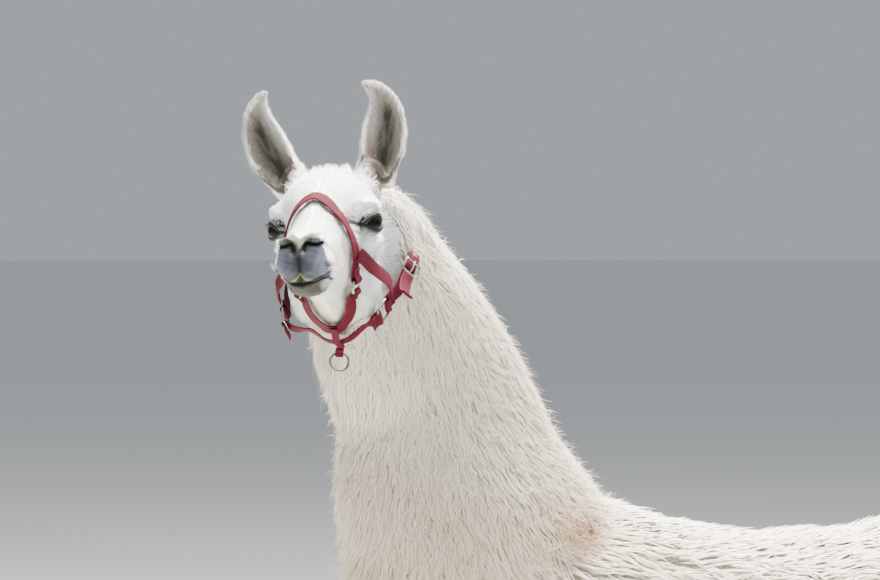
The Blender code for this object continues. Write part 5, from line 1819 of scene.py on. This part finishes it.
@dataclass
class Eye:
    """An eyeball with its cornea, the dark margin of the lids and the lashes."""

    animal: Animal
    side: str
    cornea: float = 0.0115  # radius of the clear window
    bulge: float = 0.0012
    pupil: tuple = (0.0052, 0.0026)  # half its width and height
    margin: float = 0.0011  # half the thickness of the lids' edge
    lashes: int = 46
    lash_length: float = 0.0085
    lash_half: float = 0.00021  # half its thickness at the root

    def place(self, offsets: Array) -> Array:
        """Offsets from the eye's middle, in the head's frame, as places of the row's frame."""
        return self.animal.from_head(self.animal.eye_centre(self.side) + offsets)

    def ball(self, material: Material) -> None:
        """The eyeball, with its cornea raised."""
        sign = SIDES[self.side]
        bm = bmesh.new()
        bmesh.ops.create_uvsphere(bm, u_segments=64, v_segments=48, radius=self.animal.eye_radius)
        points = np.array([v.co for v in bm.verts])
        radial = np.hypot(points[:, 0], points[:, 1])
        window = (points[:, 2] > 0) * np.clip(1 - (radial / self.cornea) ** 2, 0, 1)
        grown = points * (1 + self.bulge * window / self.animal.eye_radius)[:, None]
        placed = self.place(grown @ LIDS.axes(sign))
        for vert, spot in zip(bm.verts, placed):
            vert.co = spot
        bmesh.ops.recalc_face_normals(bm, faces=bm.faces)
        obj = new_piece("eyeball_" + self.side, bm)
        front = points[:, 2] > 0
        from_axis = np.where(front, radial / self.cornea, 2.0)
        pupil = ramp(1.15, 0.85, np.hypot(*(points[:, :2] / self.pupil).T)) * front
        carry(obj.data, FROM_AXIS, from_axis)
        carry(obj.data, ROUND, np.arctan2(points[:, 1], points[:, 0]))
        carry(obj.data, PUPIL, pupil)
        finished(obj, material, Slot.EYE, "eye_" + self.side)

    def rim(self, material: Material) -> None:
        """The rounded edge of both lids, as one closed ring."""
        sign = SIDES[self.side]
        middle = LIDS.edge(sign, 0.0008)
        ahead = unit(np.roll(middle, -1, 0) - np.roll(middle, 1, 0))
        out = unit(middle)
        across = np.cross(ahead, out)
        angles = np.linspace(0, 2 * np.pi, 8, endpoint=False)[:, None]
        spokes = across[:, None] * np.cos(angles) + out[:, None] * 1.15 * np.sin(angles)
        bm = swept(self.place(middle[:, None] + spokes * self.margin), closed=True)
        finished(new_piece("lid_margin_" + self.side, bm), material, Slot.SHORT)

    def lash_row(self, material: Material) -> None:
        """Lashes of the upper lid, curving down and out over the eye."""
        sign = SIDES[self.side]
        rng = np.random.default_rng(500 + sign)
        back, up, _ = LIDS.axes(sign)
        whole = bmesh.new()
        for start in LIDS.edge(sign, 0.0016, 4 * self.lashes)[6 : 2 * self.lashes - 6 : 2]:
            radial = unit(start)
            share = (start @ back) / LIDS.half_width
            long = self.lash_length * (1 - 0.35 * share**2) * rng.uniform(0.8, 1.15)
            side = back * share * 0.5 + rng.normal(0, 0.07, 3)
            mid = start + (radial * 0.75 + up * 0.10 + side * 0.5) * long * 0.55
            end = mid + (radial * 0.55 - up * 0.40 + side) * long * 0.55
            line = curve([start - radial * 0.0006, mid, end], 5)
            rings = tube(line, up, self.lash_half * np.linspace(1, 0.2, 5), np.array([0, 2.1, 4.2]))
            absorb(whole, swept(self.place(rings), closed=False))
        finished(new_piece("lashes_" + self.side, whole), material, Slot.SHORT)


def nails(material: Material) -> None:
    """Toenails, each a smooth copy of its solid."""
    for name in nodes_of("nail_"):
        bm = node_copy(name)
        quads(bm, 25, 60)
        obj = new_piece("horn_" + name, bm)
        subdivide(obj, 2)
        finished(obj, material, Slot.HORN, name)


def subdivide(obj: Object, levels: int) -> None:
    """Rounds a piece off."""
    made = obj.modifiers.new("round", "SUBSURF")
    made.levels = made.render_levels = levels


# ---- halter


@dataclass
class StrapPath:
    """The middle of a strap's solid, station by station."""

    middle: Array
    across: Array
    out: Array
    wide: float
    thick: float

    @classmethod
    def of(cls, node: str, wide: float, thick: float = 0.0024) -> "StrapPath":
        """Reads a strap's stations from its solid, whose rings are all rectangles of the webbing's section.

        Args:
            node: The strap's node.
            wide: Width of its webbing.
            thick: Thickness of its webbing.

        Returns:
            The path, from one end to the other.
        """
        bm = node_copy(node)
        bm.verts.index_update()
        places = np.array([v.co for v in bm.verts])
        partners, others = defaultdict(set), defaultdict(set)
        for edge in bm.edges:
            a, b = (v.index for v in edge.verts)
            size = np.linalg.norm(places[a] - places[b])
            kind = partners if min(abs(size - wide), abs(size - thick)) < 2e-6 else others
            kind[a].add(b)
            kind[b].add(a)
        bm.free()
        ring_of: dict[int, int] = {}
        rings: list[list[int]] = []
        for start in range(len(places)):
            if start in ring_of:
                continue
            queue, group = [start], [start]
            ring_of[start] = len(rings)
            while queue:
                for other in partners[queue.pop()]:
                    if other not in ring_of:
                        ring_of[other] = len(rings)
                        queue.append(other)
                        group.append(other)
            rings.append(group)
        links = defaultdict(set)
        for a, near in others.items():
            for b in near:
                if ring_of[a] != ring_of[b]:
                    links[ring_of[a]].add(ring_of[b])
        if any(len(ring) != 4 for ring in rings):
            raise ValueError(f"{node} isn't a strip of even webbing: {[len(r) for r in rings]}")
        order = [min(k for k in links if len(links[k]) == 1)]
        while len(order) < len(rings):
            order.append(next(k for k in links[order[-1]] if k not in order))
        return cls.ordered(places, [rings[k] for k in order], wide, thick)

    @classmethod
    def ordered(cls, places: Array, rings: list, wide: float, thick: float) -> "StrapPath":
        """Works out each station's axes, so that they turn steadily from one to the next."""
        middle, across, out = [], [], []
        for ring in rings:
            corners = places[ring]
            first = corners[0]
            gaps = np.linalg.norm(corners - first, axis=1)
            level = unit(corners[int(np.argmin(np.abs(gaps - wide)))] - first)
            high = unit(corners[int(np.argmin(np.abs(gaps - thick)))] - first)
            if across:
                level = level * np.sign(level @ across[-1])
                high = high * np.sign(high @ out[-1])
            middle.append(corners.mean(0))
            across.append(level)
            out.append(high)
        return cls(np.array(middle), np.array(across), np.array(out), wide, thick)

    def facing_out(self, centre: Array) -> "StrapPath":
        """The same path with its outer face away from a point, judged at its middle."""
        k = len(self.middle) // 2
        sign = np.sign(self.out[k] @ (self.middle[k] - centre))
        return replace(self, out=self.out * sign, across=self.across * sign)

    def lapped(self, towards: Array, reach: float, drop: float) -> "StrapPath":
        """The same path, made longer at its end nearest a point and sunk there."""
        path = self
        if np.linalg.norm(self.middle[0] - towards) > np.linalg.norm(self.middle[-1] - towards):
            path = replace(self, middle=self.middle[::-1], across=self.across[::-1], out=self.out[::-1])
        ahead = unit(path.middle[0] - path.middle[1])
        more = [path.middle[0] + ahead * reach * share - path.out[0] * drop * share for share in (1.0, 0.5)]
        return replace(
            path,
            middle=np.vstack([more, path.middle]),
            across=np.vstack([path.across[:1], path.across[:1], path.across]),
            out=np.vstack([path.out[:1], path.out[:1], path.out]),
        )

    def dense(self, step: float) -> "StrapPath":
        """A smooth path with a station about every `step`."""
        gaps = np.linalg.norm(np.diff(self.middle, axis=0), axis=1)
        fine = []
        for k, gap in enumerate(gaps):
            pieces = max(2, math.ceil(gap / step))
            fine += [k + j / pieces for j in range(pieces)]
        fine = np.array(fine + [len(gaps)])
        padded = extended(self.middle)
        index = np.minimum(fine.astype(int), len(gaps) - 1)
        t = (fine - index)[:, None]
        chord = gaps[index][:, None]
        before = np.concatenate([[gaps[0]], gaps])[index][:, None]
        after = np.concatenate([gaps, [gaps[-1]]])[index + 1][:, None]
        b, c = padded[index + 1], padded[index + 2]
        enter = ((b - padded[index]) / before * chord + (c - b) / chord * before) / (chord + before) * chord
        leave = ((c - b) / chord * after + (padded[index + 3] - c) / after * chord) / (chord + after) * chord
        middle = (2 * t**3 - 3 * t**2 + 1) * b + (t**3 - 2 * t**2 + t) * enter
        middle += (3 * t**2 - 2 * t**3) * c + (t**3 - t**2) * leave
        across = unit(self.across[index] * (1 - t) + self.across[index + 1] * t)
        out = self.out[index] * (1 - t) + self.out[index + 1] * t
        out = unit(out - (out * across).sum(1)[:, None] * across)
        return StrapPath(middle, across, out, self.wide, self.thick)


@dataclass
class Halter:
    """Webbing straps, their stitches, the rings and the buckle."""

    animal: Animal
    webbing: Material
    thread: Material
    metal: Material
    width: float = 0.019
    tab_width: float = 0.010
    skull: tuple = (0, -0.10, -0.11)  # inside the head, in its frame
    nose: tuple = (0, -0.30, -0.11)
    lap: float = 0.0095  # how far the cheek straps run under the noseband
    lap_drop: float = 0.0016
    section: int = 14  # points round the webbing's section
    square: float = 0.16  # roundness of its corners
    sink: float = 0.0032  # how far the crown strap's hidden run is moved in
    metal_grown: float = 0.0003
    # Distance along the webbing and over it of the prong's points.
    prong: tuple = ((0.0085, 0.0006), (0.004, 0.0030), (-0.003, 0.0034), (-0.0095, 0.0022))
    prong_radius: float = 0.00115
    stitch: tuple = (0.00115, 0.00035, 0.00032)  # half its width, length and height

    def strap(self, node: str) -> StrapPath:
        """One strap, rounded at its edges, with its length and width marked for the weave."""
        wide = self.tab_width if node == "halter_tab" else self.width
        path = StrapPath.of(node, wide).facing_out(self.animal.from_head(self.skull))
        if "crown" in node:
            high = self.animal.to_head(path.middle)[:, 2]
            path.middle = path.middle - path.out * (self.sink * ramp(SURFACED_AT, SUNK_AT, high))[:, None]
        if "cheek" in node:
            path = path.lapped(self.animal.from_head(self.nose), self.lap, self.lap_drop)
        fine = path.dense(0.0022)
        half, thin = path.wide / 2 - 0.0002, path.thick / 2 - 0.0001
        angles = np.linspace(0, 2 * np.pi, self.section, endpoint=False) + np.pi / self.section
        u = np.sign(np.cos(angles)) * np.abs(np.cos(angles)) ** self.square * half
        v = np.sign(np.sin(angles)) * np.abs(np.sin(angles)) ** (2 * self.square) * thin
        v = v * (1 + 0.10 * (np.abs(u) > half * 0.8))
        rings = fine.middle[:, None] + fine.across[:, None] * u[:, None] + fine.out[:, None] * v[:, None]
        length = lengths(fine.middle)
        obj = new_piece("webbing_" + node, swept(rings, closed=False))
        carry(obj.data, ALONG, np.repeat(length, self.section))
        carry(obj.data, ACROSS, np.tile(u, len(length)))
        finished(obj, self.webbing, Slot.WEBBING, node)
        return fine

    def stitches(self, name: str, path: StrapPath) -> None:
        """Rows of thread across both sewn ends of a strap."""
        whole = bmesh.new()
        length = lengths(path.middle)
        for end in (0, 1):
            reach = length if end == 0 else length[-1] - length
            for row in range(5):
                k = int(np.argmin(np.abs(reach - (0.0022 + 0.0021 * row))))
                for column in np.linspace(-0.36, 0.36, 6):
                    spot = path.middle[k] + path.across[k] * column * path.wide
                    spot = spot - path.out[k] * (path.thick / 2 + 0.0001)
                    ahead = unit(path.middle[min(k + 1, len(length) - 1)] - path.middle[max(k - 1, 0)])
                    axes = np.stack([path.across[k], ahead, path.out[k]], 1)
                    place = Matrix.Translation(spot) @ Matrix(axes.tolist()).to_4x4()
                    shape = place @ Matrix.Diagonal((*self.stitch, 1))
                    bmesh.ops.create_icosphere(whole, subdivisions=1, radius=1, matrix=shape)
        finished(new_piece("stitches_" + name, whole), self.thread, Slot.WEBBING)

    def ring(self, node: str) -> None:
        """A wire ring, rounded from its solid."""
        bm = node_copy(node)
        quads(bm, 30, 80)
        bm.normal_update()
        grow(bm, self.metal_grown)
        obj = new_piece("metal_" + node, bm)
        subdivide(obj, 2)
        finished(obj, self.metal, Slot.METAL, node)

    def tongue(self) -> None:
        """The buckle's prong, from its middle bar over the webbing."""
        path = StrapPath.of("halter_strap_end", self.width)
        middle = coordinates(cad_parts["halter_buckle"].data).mean(0)
        k = min((0, -1), key=lambda end: np.linalg.norm(path.middle[end] - middle))
        along = unit(path.middle[1] - path.middle[0]) if k == 0 else unit(path.middle[-2] - path.middle[-1])
        out = path.out[k] * np.sign(path.out[k] @ (middle - self.animal.from_head(self.skull)))
        line = curve([middle + along * s + out * h for s, h in self.prong], 14)
        rings = tube(line, out, self.prong_radius, np.linspace(0, 2 * np.pi, 8, endpoint=False))
        finished(new_piece("buckle_tongue", swept(rings, closed=False)), self.metal, Slot.METAL)

    def build(self) -> None:
        """Makes every piece of the halter."""
        for node in nodes_of("halter_"):
            if "ring" in node or "buckle" in node:
                self.ring(node)
                continue
            path = self.strap(node)
            if node not in ("halter_tab", "halter_strap_end"):
                self.stitches(node, path)
        self.tongue()


# ---- studio


def aimed(obj: Object, at: Vector, target: Vector) -> Object:
    """The same light or camera, put at a place and turned to a target."""
    obj.location = at
    obj.rotation_euler = (target - at).to_track_quat("-Z", "Y").to_euler()
    return obj


@dataclass
class Studio:
    """Floor, light and camera."""

    animal: Animal
    azimuth_deg: float = 70.0
    distance: float = 5.0
    raised: float = 0.12
    lens: float = 150.0
    looks_at: tuple = (0.02, -0.20, 1.39)  # from the floor under the withers

    def build(self) -> None:
        """Makes the floor, the lights and the camera."""
        shift = self.animal.origin() - np.array(self.animal.poll)
        target = Vector(shift + np.array(self.looks_at))
        angle = math.radians(self.azimuth_deg)
        eye = target + Vector((math.sin(angle), -math.cos(angle), 0)) * self.distance
        eye += Vector((0, 0, self.raised))
        data = bpy.data.cameras.new("camera")
        data.lens, data.clip_end = self.lens, 200.0
        bpy.context.scene.camera = aimed(linked("camera", data), eye, target)
        bm = bmesh.new()
        bmesh.ops.create_circle(bm, cap_ends=True, segments=96, radius=90.0)
        floor = new_piece("floor", bm)
        floor.data.materials.append(FloorFinish().make())
        view = (target - eye).normalized()
        right = view.cross(Vector((0, 0, 1))).normalized()
        head = Vector(self.animal.origin())
        key = head + view * 1.1 + right * 1.0 + Vector((0, 0, 3.6))
        self.light("key_above", key, head, 1.6, 2300, (1.0, 0.97, 0.91))
        fill = head - view * 3.2 - right * 2.2 + Vector((0, 0, 1.4))
        self.light("front_fill", fill, head, 3.0, 60, (0.90, 0.95, 1.0))
        above = head + Vector((0, 1.0, 6.0))
        self.light("overhead", above, head + Vector((0, 1.0, -1.6)), 9.0, 1500, (1.0, 0.99, 0.97))
        world = bpy.data.worlds.new("studio")
        world.use_nodes = True
        sky = world.node_tree.nodes["Background"].inputs
        sky["Color"].default_value, sky["Strength"].default_value = (0.84, 0.90, 0.95, 1.0), 0.48
        bpy.context.scene.world = world

    def light(self, name: str, at: Vector, target: Vector, size: float, watts: float, colour: tuple) -> None:
        """A square soft light that faces a point."""
        data = bpy.data.lights.new(name, "AREA")
        data.size, data.energy, data.color = size, watts, colour
        aimed(linked(name, data), at, target)


def main() -> None:
    """Builds everything in order."""
    logging.basicConfig(level=logging.INFO, format="%(relativeCreated)7d ms  %(message)s")
    animal = Animal()
    Studio(animal).build()
    skin = Skin(animal)
    finished(skin.build(), SkinFinish().make(), Slot.SHORT, *skin.flesh())
    coat = Coat(animal, skin, WoolFinish("white_wool").make())
    CoatPlan(animal, coat).build()
    eye_finish, margin_finish = EyeFinish().make(), MarginFinish().make()
    for side in SIDES:
        eye = Eye(animal, side)
        eye.ball(eye_finish)
        eye.rim(margin_finish)
        eye.lash_row(margin_finish)
    nails(HornFinish().make())
    Halter(animal, WebbingFinish().make(), ThreadFinish().make(), MetalFinish().make()).build()


if __name__ == "__main__":
    main()
